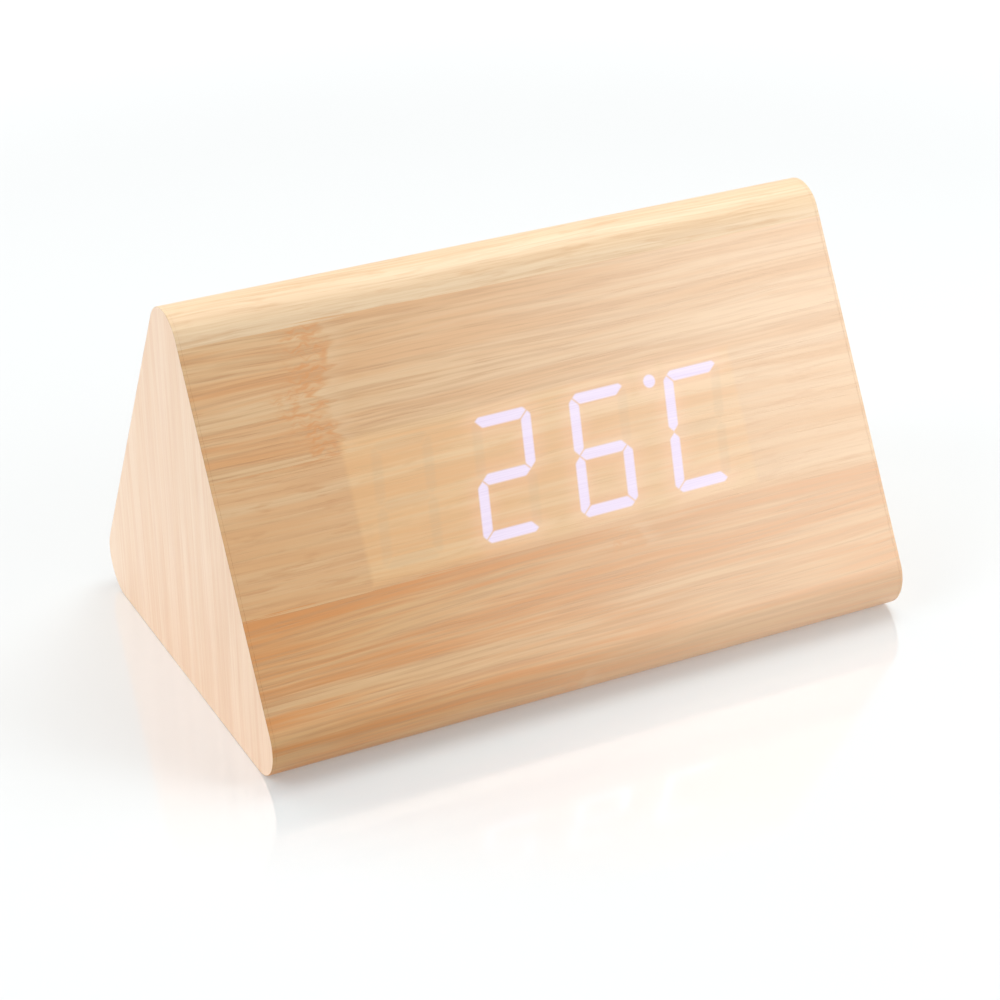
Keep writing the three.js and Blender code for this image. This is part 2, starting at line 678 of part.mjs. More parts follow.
function buildSensor() {
  const bead = -boardInner - SEAT - SENSOR.radius;
  const leads = [-1, 1].map((side) => {
    const lead = rod(SENSOR.leadRadius, controlFront + SEAT, bead, WIRE_SIDES);
    return lead.translate((side * SENSOR.leadSpacing) / 2, 0, 0);
  });
  const ball = new THREE.SphereGeometry(SENSOR.radius, SMALL_SIDES, SMALL_SIDES / 2).translate(0, 0, bead);
  addPiece(rearFace, 'temperature_sensor', onRow(join([ball, ...leads]), sensorPlace), 'beige');
}

function buildControls() {
  const outline = rectangle(2 * controlHalf, CONTROL_BOARD_WIDTH);
  for (const place of [-spacerPlace, spacerPlace]) {
    outline.holes.push(ring(place, 0, SCREW_RADIUS + SCREW_GAP, SMALL_SIDES));
  }
  addPiece(rearFace, 'control_board', onRow(plate(outline, controlBack, controlFront), 0), 'greenCircuit');

  BUTTON_NAMES.forEach((name, index) => buildButton(name, buttonPlaces[index]));
  buildInlet();
  buildSensor();

  [-spacerPlace, spacerPlace].forEach((place, index) => {
    const bore = SCREW_RADIUS + SCREW_GAP;
    const spacer = tube(SPACER_RADIUS, bore, controlFront + SEAT, -boardInner - SEAT, SMALL_SIDES);
    addPiece(rearFace, `control_spacer_${index + 1}`, onRow(spacer, place), 'whitePlastic');
    const seat = controlBack - SEAT;
    const fastener = screw(-boardInner - seat + SCREW_BITE).translate(0, 0, seat);
    addPiece(rearFace, `control_screw_${index + 1}`, onRow(fastener, place), 'tin');
  });

  const socketTop = controlBack - SEAT;
  const socket = centredBlock(HEADER.length, HEADER.width, socketTop - HEADER.height, socketTop);
  addPiece(rearFace, 'ribbon_socket', onRow(socket, 0), 'whitePlastic');
}

// Leads inside the case. Each leaves its connector straight.

function headerMouth(face, place, rise, level) {
  const mouth = new THREE.Vector3(place, rise, level - TOUCH).applyMatrix4(face.matrix);
  const leaving = new THREE.Vector3(0, 0, -1).transformDirection(face.matrix);
  return { mouth, leaving };
}

function buildRibbon() {
  const from = headerMouth(frontFace, 0, DISPLAY_RISE + HEADER_RISE, partsSeat - HEADER.height);
  const to = headerMouth(rearFace, 0, CONTROL_RISE, controlBack - SEAT - HEADER.height);
  const middleLine = new THREE.CubicBezierCurve3(
    from.mouth,
    from.mouth.clone().addScaledVector(from.leaving, RIBBON.reach),
    to.mouth.clone().addScaledVector(to.leaving, RIBBON.reach),
    to.mouth,
  );
  const sides = [1, -1].map((side) =>
    Array.from({ length: RIBBON_STEPS + 1 }, (_, index) => {
      const point = middleLine.getPoint(index / RIBBON_STEPS);
      const along = middleLine.getTangent(index / RIBBON_STEPS);
      const offset = (side * RIBBON.thickness) / 2;
      return new THREE.Vector2(point.y - along.z * offset, point.z + along.y * offset);
    }),
  );
  const section = new THREE.Shape([...sides[0], ...sides[1].reverse()]);
  addPiece(clock, 'ribbon_cable', alongCase(section, -RIBBON.width / 2, RIBBON.width / 2), 'greyRibbon');
}

const tabTop = trayTop + CONTACT_TAB.reach;

function cellPlace(index) {
  return (index - (CELL_COUNT - 1) / 2) * CELL_PITCH;
}

// The end of the bay that a cell's nub points to: neighbours point opposite ways
function nubEnd(index) {
  return index % 2 === 0 ? 1 : -1;
}

function contactMiddle(end) {
  return end * (bayLength / 2 - SEAT - CONTACT.thickness / 2);
}

function buildLead(name, finish, tab, headerSide, between) {
  const { place, rise, height } = BATTERY_HEADER;
  const spot = place + (headerSide * LEAD_SPACING) / 2;
  const { mouth, leaving } = headerMouth(frontFace, spot, DISPLAY_RISE + rise, partsSeat - height);
  const start = new THREE.Vector3(tab.x, tab.y, tabTop + TOUCH);
  const route = new THREE.CatmullRomCurve3([
    start,
    start.clone().add(new THREE.Vector3(0, 0, LEAD_STRAIGHT / 2)),
    ...between,
    mouth.clone().addScaledVector(leaving, LEAD_STRAIGHT),
    mouth,
  ]);
  const steps = Math.ceil(route.getLength() / LEAD_STEP);
  addPiece(clock, name, wire(route, LEAD_RADIUS, steps, WIRE_SIDES), finish);
}

function buildLeads() {
  const last = CELL_COUNT - 1;
  const redTab = { x: contactMiddle(nubEnd(0)), y: cellPlace(0) };
  const blackTab = { x: contactMiddle(-nubEnd(last)), y: cellPlace(last) };
  const redBend = { x: redTab.x + RED_LEAD_BEND.out, y: RED_LEAD_BEND.y, rise: RED_LEAD_BEND.rise };
  const overTabs = ({ x, y, rise }) => new THREE.Vector3(x, y, tabTop + rise);
  buildLead('battery_lead_red', 'redWire', redTab, 1, [overTabs(redBend)]);
  buildLead('battery_lead_black', 'blackWire', blackTab, -1, BLACK_LEAD_BENDS.map(overTabs));
}

// Cells, contacts, tray and door

function buildCells() {
  const { radius, length, nubRadius, nubLength, round } = CELL;
  const shoulder = length - nubLength;
  const profile = [
    [0, 0],
    [radius - round, 0],
    [radius, round],
    [radius, shoulder - round],
    [radius - round, shoulder],
    [nubRadius, shoulder],
    [nubRadius, length],
    [0, length],
  ];
  for (let index = 0; index < CELL_COUNT; index += 1) {
    const end = nubEnd(index);
    const flatEnd = contactMiddle(end) - end * (CONTACT.thickness / 2 + TOUCH + length);
    const cell = turned(profile, ROUND_SIDES)
      .rotateY((end * Math.PI) / 2)
      .translate(flatEnd, cellPlace(index), cellHeight);
    addPiece(clock, `battery_${index + 1}`, cell, 'cellSleeve');
  }
}

class ContactSpring extends THREE.Curve {
  constructor(end, place) {
    super();
    this.end = end;
    this.place = place;
  }

  getPoint(share, target = new THREE.Vector3()) {
    const angle = 2 * Math.PI * SPRING.turns * share;
    const radius = THREE.MathUtils.lerp(SPRING.baseRadius, SPRING.tipRadius, share);
    const root = contactMiddle(this.end) - (this.end * CONTACT.thickness) / 2;
    const reach = (SPRING.length - SPRING.wireRadius) * share;
    return target.set(
      root - this.end * reach,
      this.place + radius * Math.cos(angle),
      cellHeight + radius * Math.sin(angle),
    );
  }
}

// A contact at one end of the bay, across the given cells, with a spring behind one of them
function contact(end, cells, sprung, tabbed) {
  const places = cells.map(cellPlace);
  const half = CONTACT.thickness / 2;
  const middle = contactMiddle(end);
  const low = Math.min(...places) - CONTACT.width / 2;
  const high = Math.max(...places) + CONTACT.width / 2;
  const bottom = cellHeight - CONTACT.height / 2;
  const top = cellHeight + CONTACT.height / 2;
  const bodies = [block([middle - half, low, bottom], [middle + half, high, top])];
  if (sprung !== null) {
    const coil = new ContactSpring(end, cellPlace(sprung));
    bodies.push(wire(coil, SPRING.wireRadius, SPRING_STEPS * SPRING.turns, SPRING_SIDES));
  }
  if (tabbed) {
    bodies.push(contactTab(end, places[0], 0));
  }
  return join(bodies);
}

// The tab of a contact, up through the top of the tray, or with a margin the slot for it
function contactTab(end, place, margin) {
  const middle = contactMiddle(end);
  const halfLength = CONTACT.thickness / 2 + margin;
  const halfWidth = CONTACT_TAB.width / 2 + margin;
  const low = [middle - halfLength, place - halfWidth, cellHeight];
  const high = [middle + halfLength, place + halfWidth, tabTop];
  return block(low, high);
}

function buildContacts() {
  const last = CELL_COUNT - 1;
  addPiece(clock, 'positive_contact', contact(nubEnd(0), [0], null, true), 'nickel');
  addPiece(clock, 'negative_contact', contact(-nubEnd(last), [last], last, true), 'nickel');
  for (let index = 0; index < last; index += 1) {
    const bridge = contact(-nubEnd(index), [index, index + 1], index, false);
    addPiece(clock, `bridge_contact_${index + 1}`, bridge, 'nickel');
  }
}

function doorNotch() {
  const start = doorLength / 2;
  const half = DOOR_NOTCH.width / 2;
  return block(
    [start, -half, BASE_RECESS - FIT],
    [start + DOOR.gap + DOOR_NOTCH.length, half, BASE_RECESS + DOOR_NOTCH.depth],
  );
}

function buildTray() {
  const shell = join([
    centredBlock(flangeLength, flangeWidth, BASE_RECESS, flangeTop),
    centredBlock(frameLength, frameWidth, BASE_RECESS, frameTop),
    centredBlock(bayLength + 2 * TRAY_WALL, bayWidth + 2 * TRAY_WALL, BASE_RECESS, trayTop),
  ]);
  const barrelRoom = DOOR_BARREL_RADIUS + DOOR.gap;
  const hingeRoom = block(
    [hinge.x - barrelRoom, -recessWidth / 2, BASE_RECESS - FIT],
    [hinge.x + barrelRoom, recessWidth / 2, hinge.z + barrelRoom],
  );
  const screwHoles = trayScrewPlaces.flatMap(([x, y]) => [
    rod(SCREW_RADIUS + SCREW_GAP, 0, flangeTop + FIT, SMALL_SIDES).translate(x, y, 0),
    rod(SCREW_HEAD.radius + FIT, 0, counterboreTop, ROUND_SIDES).translate(x, y, 0),
  ]);
  const hollow = cut(shell, [
    centredBlock(bayLength, bayWidth, 0, bayTop),
    centredBlock(recessLength, recessWidth, 0, ledgeBottom),
    hingeRoom,
    acrossHinge(DOOR_PIN_RADIUS + RUN, frameWidth / 2 + FIT),
    doorNotch(),
    contactTab(nubEnd(0), cellPlace(0), FIT),
    contactTab(-nubEnd(CELL_COUNT - 1), cellPlace(CELL_COUNT - 1), FIT),
    ...screwHoles,
  ]);
  const ribLength = bayLength - 2 * (SPRING.length + RIB.inset);
  const ribs = Array.from({ length: CELL_COUNT - 1 }, (_, index) => {
    const rib = centredBlock(ribLength, RIB.thickness, bayTop - RIB.height, bayTop + TRAY_WALL / 2);
    return rib.translate(0, (cellPlace(index) + cellPlace(index + 1)) / 2, 0);
  });
  addPiece(clock, 'battery_tray', join([hollow, ...ribs]), 'blackPlastic');

  trayScrewPlaces.forEach(([x, y], index) => {
    const length = rebateTop + SCREW_BITE - trayScrewSeat;
    addPiece(clock, `tray_screw_${index + 1}`, screw(length).translate(x, y, trayScrewSeat), 'tin');
  });
}

function buildDoor() {
  const leaf = block([hinge.x, -doorWidth / 2, BASE_RECESS], [doorLength / 2, doorWidth / 2, doorTop]);
  const barrel = acrossHinge(DOOR_BARREL_RADIUS, doorWidth / 2);
  const pins = acrossHinge(DOOR_PIN_RADIUS, frameWidth / 2 - RUN);
  const nibs = [-1, 1].map((side) => {
    const nib = centredBlock(DOOR.gap, DOOR_NIB.width, hinge.z - DOOR_NIB.height, hinge.z);
    return nib.translate(doorLength / 2, side * (DOOR_NOTCH.width / 2 + DOOR_NIB.width), 0);
  });
  addPiece(clock, 'battery_door', join([leaf, barrel, pins, ...nibs]), 'blackPlastic');
}

buildCase();
buildDisplay();
buildElectronics();
buildControls();
buildRibbon();
buildLeads();
buildCells();
buildContacts();
buildTray();
buildDoor();

export default clock;
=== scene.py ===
"""The looks of a desk clock: a three-sided bamboo case with numerals that shine through its front.

Lengths are in metres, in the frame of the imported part: X runs along the case, the front face looks
towards -Y and up, and the origin lies on the table under the middle of the case. Inside the shaders,
places on a surface are in millimetres.
"""

from __future__ import annotations

import logging
import math
from abc import ABC, abstractmethod
from dataclasses import dataclass, field
from enum import Enum
from typing import Callable, Iterable, Sequence, Union

import bmesh
import bpy
from mathutils import Matrix, Vector


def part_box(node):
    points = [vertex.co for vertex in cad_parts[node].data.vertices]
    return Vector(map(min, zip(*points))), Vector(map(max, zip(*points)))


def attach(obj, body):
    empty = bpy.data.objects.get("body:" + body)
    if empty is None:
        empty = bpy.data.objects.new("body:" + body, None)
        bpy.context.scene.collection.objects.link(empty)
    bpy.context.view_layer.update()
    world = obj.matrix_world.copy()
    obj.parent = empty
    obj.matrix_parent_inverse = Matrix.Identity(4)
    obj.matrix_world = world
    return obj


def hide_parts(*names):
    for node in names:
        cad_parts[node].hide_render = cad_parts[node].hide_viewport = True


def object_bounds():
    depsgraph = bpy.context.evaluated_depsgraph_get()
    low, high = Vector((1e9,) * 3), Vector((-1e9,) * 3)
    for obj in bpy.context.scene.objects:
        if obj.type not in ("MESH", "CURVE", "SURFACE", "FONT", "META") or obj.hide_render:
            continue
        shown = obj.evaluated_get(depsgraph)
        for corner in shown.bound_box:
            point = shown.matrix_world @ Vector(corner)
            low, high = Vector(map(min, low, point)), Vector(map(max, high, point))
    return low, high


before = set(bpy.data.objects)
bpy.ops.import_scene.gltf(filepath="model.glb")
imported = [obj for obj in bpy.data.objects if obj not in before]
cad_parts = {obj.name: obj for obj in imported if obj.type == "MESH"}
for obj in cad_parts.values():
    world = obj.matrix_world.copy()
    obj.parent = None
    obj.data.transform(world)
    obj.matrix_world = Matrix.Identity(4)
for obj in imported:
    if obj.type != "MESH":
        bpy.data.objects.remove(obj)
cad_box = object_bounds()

Node = bpy.types.Node
Object = bpy.types.Object
Socket = bpy.types.NodeSocket
Sockets = dict[str, Socket]
Tree = bpy.types.NodeTree
Vertex = bmesh.types.BMVert
Value = Union[float, Sequence[float], Socket]
Colour = tuple[float, float, float]
Inputs = dict[Union[int, str], Value]
Span = tuple[float, float]
Profile = list[tuple[float, float]]

log = logging.getLogger("desk_clock")

MM = 0.001
MIDDLE = 0.5  # what the noise varies about
WHITE = (1.0, 1.0, 1.0)
BLACK = (0.0, 0.0, 0.0)
SHEET_MAP = "sheet"
SMOOTH_ANGLE = math.radians(35.0)  # edges that turn by more stay sharp
FLAT_WEIGHT = 100  # how strongly large faces set the smoothing


class Op(str, Enum):
    """The sums that the shaders use."""

    ADD = "ADD"
    SUBTRACT = "SUBTRACT"
    MULTIPLY = "MULTIPLY"
    DIVIDE = "DIVIDE"
    ABSOLUTE = "ABSOLUTE"
    LARGER = "MAXIMUM"
    SMALLER = "MINIMUM"
    ROUND_LARGER = "SMOOTH_MAX"
    ABOVE = "GREATER_THAN"
    POWER = "POWER"
    WRAP = "PINGPONG"


@dataclass(frozen=True)
class Streaks:
    """One kind of streak along the grain.

    Attributes:
        length, width: of a streak, in millimetres.
        detail, rough: how many finer layers it has, and how strong they are.
    """

    length: float
    width: float
    detail: float = 2.0
    rough: float = 0.5


class Pen:
    """Adds nodes to one shader tree and links them, so that a finish reads like a formula."""

    number_inputs = (0, 2, 3)  # where a Mix node takes its share and its two numbers
    colour_inputs = (0, 6, 7)  # where it takes its share and its two colours
    colour_output = 2

    def __init__(self, tree: Tree) -> None:
        """Starts drawing in a node tree."""
        self.tree = tree

    def node(self, kind: str, **settings: object) -> Node:
        """Adds one node.

        Args:
            kind: Blender's name for the node's type.
            settings: properties to set on it.

        Returns:
            The new node.
        """
        made = self.tree.nodes.new(kind)
        for name, value in settings.items():
            setattr(made, name, value)
        return made

    def feed(self, socket: Socket, value: Value) -> None:
        """Links a socket to an input, or sets the input to a plain value.

        Args:
            socket: the input.
            value: an output socket, a number, or the parts of a colour or vector.
        """
        if isinstance(value, Socket):
            self.tree.links.new(value, socket)
        elif socket.type == "RGBA" and len(value) == 3:
            socket.default_value = (*value, 1.0)
        else:
            socket.default_value = value

    def fill(self, node: Node, values: Inputs) -> None:
        """Feeds several inputs of a node, by their names or numbers."""
        for key, value in values.items():
            self.feed(node.inputs[key], value)

    def fed(self, kind: str, values: Inputs, **settings: object) -> Socket:
        """Adds one node and feeds its inputs.

        Args:
            kind: Blender's name for the node's type.
            values: what goes to each input, by its name or number.
            settings: properties to set on it.

        Returns:
            Its first output.
        """
        made = self.node(kind, **settings)
        self.fill(made, values)
        return made.outputs[0]

    def sum(self, operation: Op, *values: Value) -> Socket:
        """Works out one sum of numbers."""
        return self.fed("ShaderNodeMath", dict(enumerate(values)), operation=operation.value)

    def plus(self, first: Value, second: Value) -> Socket:
        """Adds two numbers."""
        return self.sum(Op.ADD, first, second)

    def minus(self, first: Value, second: Value) -> Socket:
        """Takes the second number from the first."""
        return self.sum(Op.SUBTRACT, first, second)

    def times(self, first: Value, second: Value) -> Socket:
        """Multiplies two numbers."""
        return self.sum(Op.MULTIPLY, first, second)

    def over(self, first: Value, second: Value) -> Socket:
        """Divides the first number by the second."""
        return self.sum(Op.DIVIDE, first, second)

    def size(self, value: Value) -> Socket:
        """Takes the sign off a number."""
        return self.sum(Op.ABSOLUTE, value)

    def fold(self, operation: Op, values: Iterable[Socket], *last: Value) -> Socket:
        """Works out one sum over several numbers, two at a time.

        Args:
            operation: the sum.
            values: the numbers.
            last: a further number that each step takes, such as a rounding.

        Returns:
            The result.
        """
        whole, *others = values
        for other in others:
            whole = self.sum(operation, whole, other, *last)
        return whole

    def spread(self, value: Value, low: float, high: float, start: float = 0.0, end: float = 1.0) -> Socket:
        """Eases a number, so that it goes from start to end while the value goes from low to high."""
        values = dict(enumerate((value, low, high, start, end)))
        return self.fed("ShaderNodeMapRange", values, interpolation_type="SMOOTHSTEP")

    def between(self, share: Value, first: Value, second: Value) -> Socket:
        """Mixes two numbers, by how much of the second one counts."""
        values = dict(zip(self.number_inputs, (share, first, second)))
        return self.fed("ShaderNodeMix", values, data_type="FLOAT")

    def tint(self, share: Value, first: Value, second: Value, mode: str = "MIX") -> Socket:
        """Mixes two colours.

        Args:
            share: how much of the second colour shows.
            first: the colour below.
            second: the colour above.
            mode: Blender's name for the way they mix.

        Returns:
            The mixed colour.
        """
        made = self.node("ShaderNodeMix", data_type="RGBA", blend_type=mode, clamp_factor=True)
        self.fill(made, dict(zip(self.colour_inputs, (share, first, second))))
        return made.outputs[self.colour_output]

    def split(self, kind: str, whole: Socket) -> tuple[Socket, ...]:
        """Takes a vector or a colour apart.

        Args:
            kind: Blender's name for the node's type.
            whole: the vector or colour.

        Returns:
            Its parts, in order.
        """
        made = self.node(kind)
        self.feed(made.inputs[0], whole)
        return tuple(made.outputs)

    def parts(self, vector: Socket) -> tuple[Socket, ...]:
        """Takes a vector apart into X, Y and Z."""
        return self.split("ShaderNodeSeparateXYZ", vector)

    def point(self, x: Value, y: Value, z: Value = 0.0) -> Socket:
        """Puts a vector together from X, Y and Z."""
        return self.fed("ShaderNodeCombineXYZ", {0: x, 1: y, 2: z})

    def noise(self, place: Socket, size: float, detail: float = 2.0, rough: float = 0.5) -> Socket:
        """Makes cloudy noise about 0.5, with patches of about one size, in the units of the place."""
        values = {"Vector": place, "Scale": 1.0 / size, "Detail": detail, "Roughness": rough}
        return self.fed("ShaderNodeTexNoise", values)

    def streaks(self, along: Value, across: Value, kind: Streaks, seed: Value) -> Socket:
        """Makes noise about 0.5, drawn out along the grain. The seed picks one among many."""
        place = self.point(self.over(along, kind.length), self.over(across, kind.width), seed)
        return self.noise(place, 1.0, kind.detail, kind.rough)

    def group(self, tree: Tree, **values: Value) -> Sockets:
        """Places a node group.

        Args:
            tree: the group.
            values: its inputs by name, with _ for a space.

        Returns:
            Its outputs by name.
        """
        made = self.node("ShaderNodeGroup", node_tree=tree)
        self.fill(made, {name.replace("_", " "): value for name, value in values.items()})
        return {socket.name: socket for socket in made.outputs}


class SocketKind(str, Enum):
    """The kinds of socket that the node groups have."""

    NUMBER = "NodeSocketFloat"
    VECTOR = "NodeSocketVector"


class EffectGroup(ABC):
    """A shader effect that several finishes share, as one node group with named sockets."""

    title: str = ""
    takes: dict[str, SocketKind] = {}
    gives: tuple[str, ...] = ()
    made: dict[str, Tree] = {}

    @classmethod
    def tree(cls) -> Tree:
        """Draws the group on first use.

        Returns:
            The group.
        """
        if cls.title not in EffectGroup.made:
            group = bpy.data.node_groups.new(cls.title, "ShaderNodeTree")
            for name, kind in cls.takes.items():
                group.interface.new_socket(name=name, in_out="INPUT", socket_type=kind.value)
            for name in cls.gives:
                group.interface.new_socket(name=name, in_out="OUTPUT", socket_type=SocketKind.NUMBER.value)
            pen = Pen(group)
            source = pen.node("NodeGroupInput")
            results = cls.draw(pen, {name: source.outputs[name] for name in cls.takes})
            sink = pen.node("NodeGroupOutput")
            for name, result in zip(cls.gives, results):
                pen.feed(sink.inputs[name], result)
            EffectGroup.made[cls.title] = group
        return EffectGroup.made[cls.title]

    @classmethod
    @abstractmethod
    def draw(cls, pen: Pen, given: Sockets) -> Sequence[Socket]:
        """Draws the effect.

        Args:
            pen: draws in the group's tree.
            given: the group's inputs by name.

        Returns:
            The group's outputs, in order.
        """


class StraightGrain(EffectGroup):
    """The grain of sliced wood: broad tone, streaks, thin lines, short dashes, pores and silky fibres.

    A bend has its waves and how far they carry the grain. A mark has its streaks and the levels at which
    it starts and is full. Pores gather in the lines: from where, to where, and their strength at each.
    """

    title = "Straight grain"
    takes = {name: SocketKind.NUMBER for name in ("Along", "Across", "Seed", "Sway")}
    gives = ("Tone", "Streak", "Line", "Dash", "Pore", "Fibre")
    bends = ((Streaks(70.0, 16.0, 1.0), 3.2), (Streaks(17.0, 5.0, 1.0), 0.55))
    marks = {
        "Tone": (Streaks(120.0, 11.0, 3.0, 0.55), (0.30, 0.70)),
        "Streak": (Streaks(60.0, 2.2, 3.0, 0.65), (0.36, 0.64)),
        "Line": (Streaks(24.0, 0.55, 2.0, 0.6), (0.38, 0.66)),
        "Dash": (Streaks(6.5, 0.9, 2.0, 0.55), (0.52, 0.76)),
        "Pore": (Streaks(8.0, 0.26, 1.0), (0.56, 0.70)),
    }
    gathering = (0.35, 0.65, 0.75, 1.08)
    fibre = Streaks(16.0, 0.11, 2.0, 0.6)

    @classmethod
    def draw(cls, pen: Pen, given: Sockets) -> Sequence[Socket]:
        """Draws the grain. Widths and places are in millimetres.

        Args:
            pen: draws in the group's tree.
            given: its inputs by name.

        Returns:
            Its outputs, in order.
        """
        along, seed = given["Along"], given["Seed"]
        waves = (
            pen.times(pen.streaks(along, given["Across"], wave, seed), reach)
            for wave, reach in cls.bends
        )
        across = pen.plus(given["Across"], pen.times(pen.plus(*waves), given["Sway"]))
        noise = {name: pen.streaks(along, across, kind, seed) for name, (kind, _) in cls.marks.items()}
        noise["Pore"] = pen.times(noise["Pore"], pen.spread(noise["Line"], *cls.gathering))
        masks = (pen.spread(noise[name], *levels) for name, (_, levels) in cls.marks.items())
        return *masks, pen.streaks(along, across, cls.fibre, seed)


class KnuckleBand(EffectGroup):
    """The place where a bamboo strip had a knuckle: its fibres break up into short, wavy, ragged marks.

    A broad wave and narrow rows draw the ragged line where the fibres end. Lengths are in millimetres.
    """

    title = "Knuckle band"
    takes = {name: SocketKind.NUMBER for name in ("Along", "Across", "Place", "Low", "High", "Reach")}
    gives = ("Mark", "Pale", "Before")
    wave = Streaks(60.0, 8.0, 1.0)
    row = Streaks(20.0, 1.7, 2.0, 0.6)
    raggedness = 9.0
    strip_edge = (-0.2, 0.4)
    ends = (-1.6, 1.6)
    gathering = 0.6
    ripple = Streaks(2.0, 2.4, 1.0)
    ripple_height = 2.6
    broken = Streaks(2.6, 0.75, 2.0, 0.6)
    broken_levels = (0.42, 0.66)
    rim = (0.1, 1.1)
    scar_levels = (0.42, 0.62)
    pale_rise = (0.2, 1.2)
    pale_fall = (1.2, 4.5)

    @classmethod
    def draw(cls, pen: Pen, given: Sockets) -> Sequence[Socket]:
        """Draws the broken fibres, the pale starts, and the side before the knuckle, in millimetres.

        Args:
            pen: draws in the group's tree.
            given: its inputs by name.

        Returns:
            Its outputs, in order.
        """
        along, across, place = given["Along"], given["Across"], given["Place"]
        wave = pen.streaks(along, across, cls.wave, place)
        row = pen.streaks(along, across, cls.row, place)
        ragged = pen.plus(pen.times(wave, cls.raggedness), pen.times(row, cls.raggedness))
        past = pen.plus(pen.minus(along, place), pen.minus(ragged, cls.raggedness))
        above = pen.spread(pen.minus(across, given["Low"]), *cls.strip_edge)
        below = pen.spread(pen.minus(given["High"], across), *cls.strip_edge)
        inside = pen.times(above, below)
        before = pen.times(pen.spread(past, *cls.ends, 1.0, 0.0), inside)
        nearness = pen.plus(pen.over(past, given["Reach"]), 1.0)
        band = pen.times(pen.spread(nearness, 0.0, cls.gathering), before)
        ripple = pen.times(pen.streaks(along, across, cls.ripple, place), cls.ripple_height)
        wavy = pen.plus(across, ripple)
        broken = pen.spread(pen.streaks(along, wavy, cls.broken, place), *cls.broken_levels)
        rim = pen.spread(pen.size(past), *cls.rim, 1.0, 0.0)
        scar = pen.times(rim, pen.spread(row, *cls.scar_levels))
        mark = pen.sum(Op.LARGER, pen.times(broken, band), pen.times(scar, inside))
        start = pen.times(
            pen.spread(past, *cls.pale_rise), pen.spread(past, *cls.pale_fall, 1.0, 0.0)
        )
        return mark, pen.times(start, inside), before


class Handling(EffectGroup):
    """What use leaves on a hard surface: fine moulding or polishing marks, smudges and worn edges.

    Each noise has its size, its detail and its roughness. The size of the texture is the grit.
    """

    title = "Handling"
    takes = {"Place": SocketKind.VECTOR, "Pointiness": SocketKind.NUMBER, "Grit": SocketKind.NUMBER}
    gives = ("Texture", "Smudge", "Worn Edge")
    texture = (2.0, 0.6)
    smudge = (6.0 * MM, 4.0, 0.6)
    chip = (0.8 * MM, 3.0, 0.65)
    smudge_levels = (0.35, 0.7)
    edge_levels = (0.53, 0.60)

    @classmethod
    def draw(cls, pen: Pen, given: Sockets) -> Sequence[Socket]:
        """Draws the marks. The place is in metres and the grit in millimetres.

        Args:
            pen: draws in the group's tree.
            given: its inputs by name.

        Returns:
            Its outputs, in order.
        """
        scaled = pen.node("ShaderNodeVectorMath", operation="SCALE")
        pen.feed(scaled.inputs[0], given["Place"])
        pen.feed(scaled.inputs["Scale"], pen.over(1.0 / MM, given["Grit"]))
        texture = pen.noise(scaled.outputs[0], 1.0, *cls.texture)
        smudge = pen.noise(given["Place"], *cls.smudge)
        chipped = pen.noise(given["Place"], *cls.chip)
        edge = pen.spread(given["Pointiness"], *cls.edge_levels)
        return texture, pen.spread(smudge, *cls.smudge_levels), pen.times(edge, chipped)


STROKE_NAMES = "abcdefg"


@dataclass(frozen=True)
class DisplaySizes:
    """The lit display, in millimetres on the front face.

    Attributes, where the name alone doesn't say it:
        corner: what is cut off a digit's outer corners.
        rise: of the digits' middle up the face, from its sharp lower corner.
        shift: of the display along the case, from its middle.
        tilt: how far the display is turned on the face.
        margin: of the window above and below the digits.
        dot_shift: of the degree dot, from halfway between the last two digits.
        rounding, blur: of a stroke's corners and of its edge.
    """

    pitch: float = 18.0
    width: float = 10.8
    height: float = 20.3
    slant: float = math.radians(7.5)
    stroke: float = 1.8
    corner: float = 1.3
    gap: float = 0.2
    rise: float = 42.3
    shift: float = -0.5
    tilt: float = math.radians(0.7)
    margin: float = 1.8
    dot_radius: float = 1.1
    dot_shift: float = 0.9
    rounding: float = 0.35
    blur: float = 0.2

    @property
    def dot_place(self) -> tuple[float, float]:
        """The middle of the degree dot, along the case and up from the middle of the digits."""
        level = (self.height - self.stroke) / 2
        return self.pitch + self.dot_shift + level * math.tan(self.slant), level


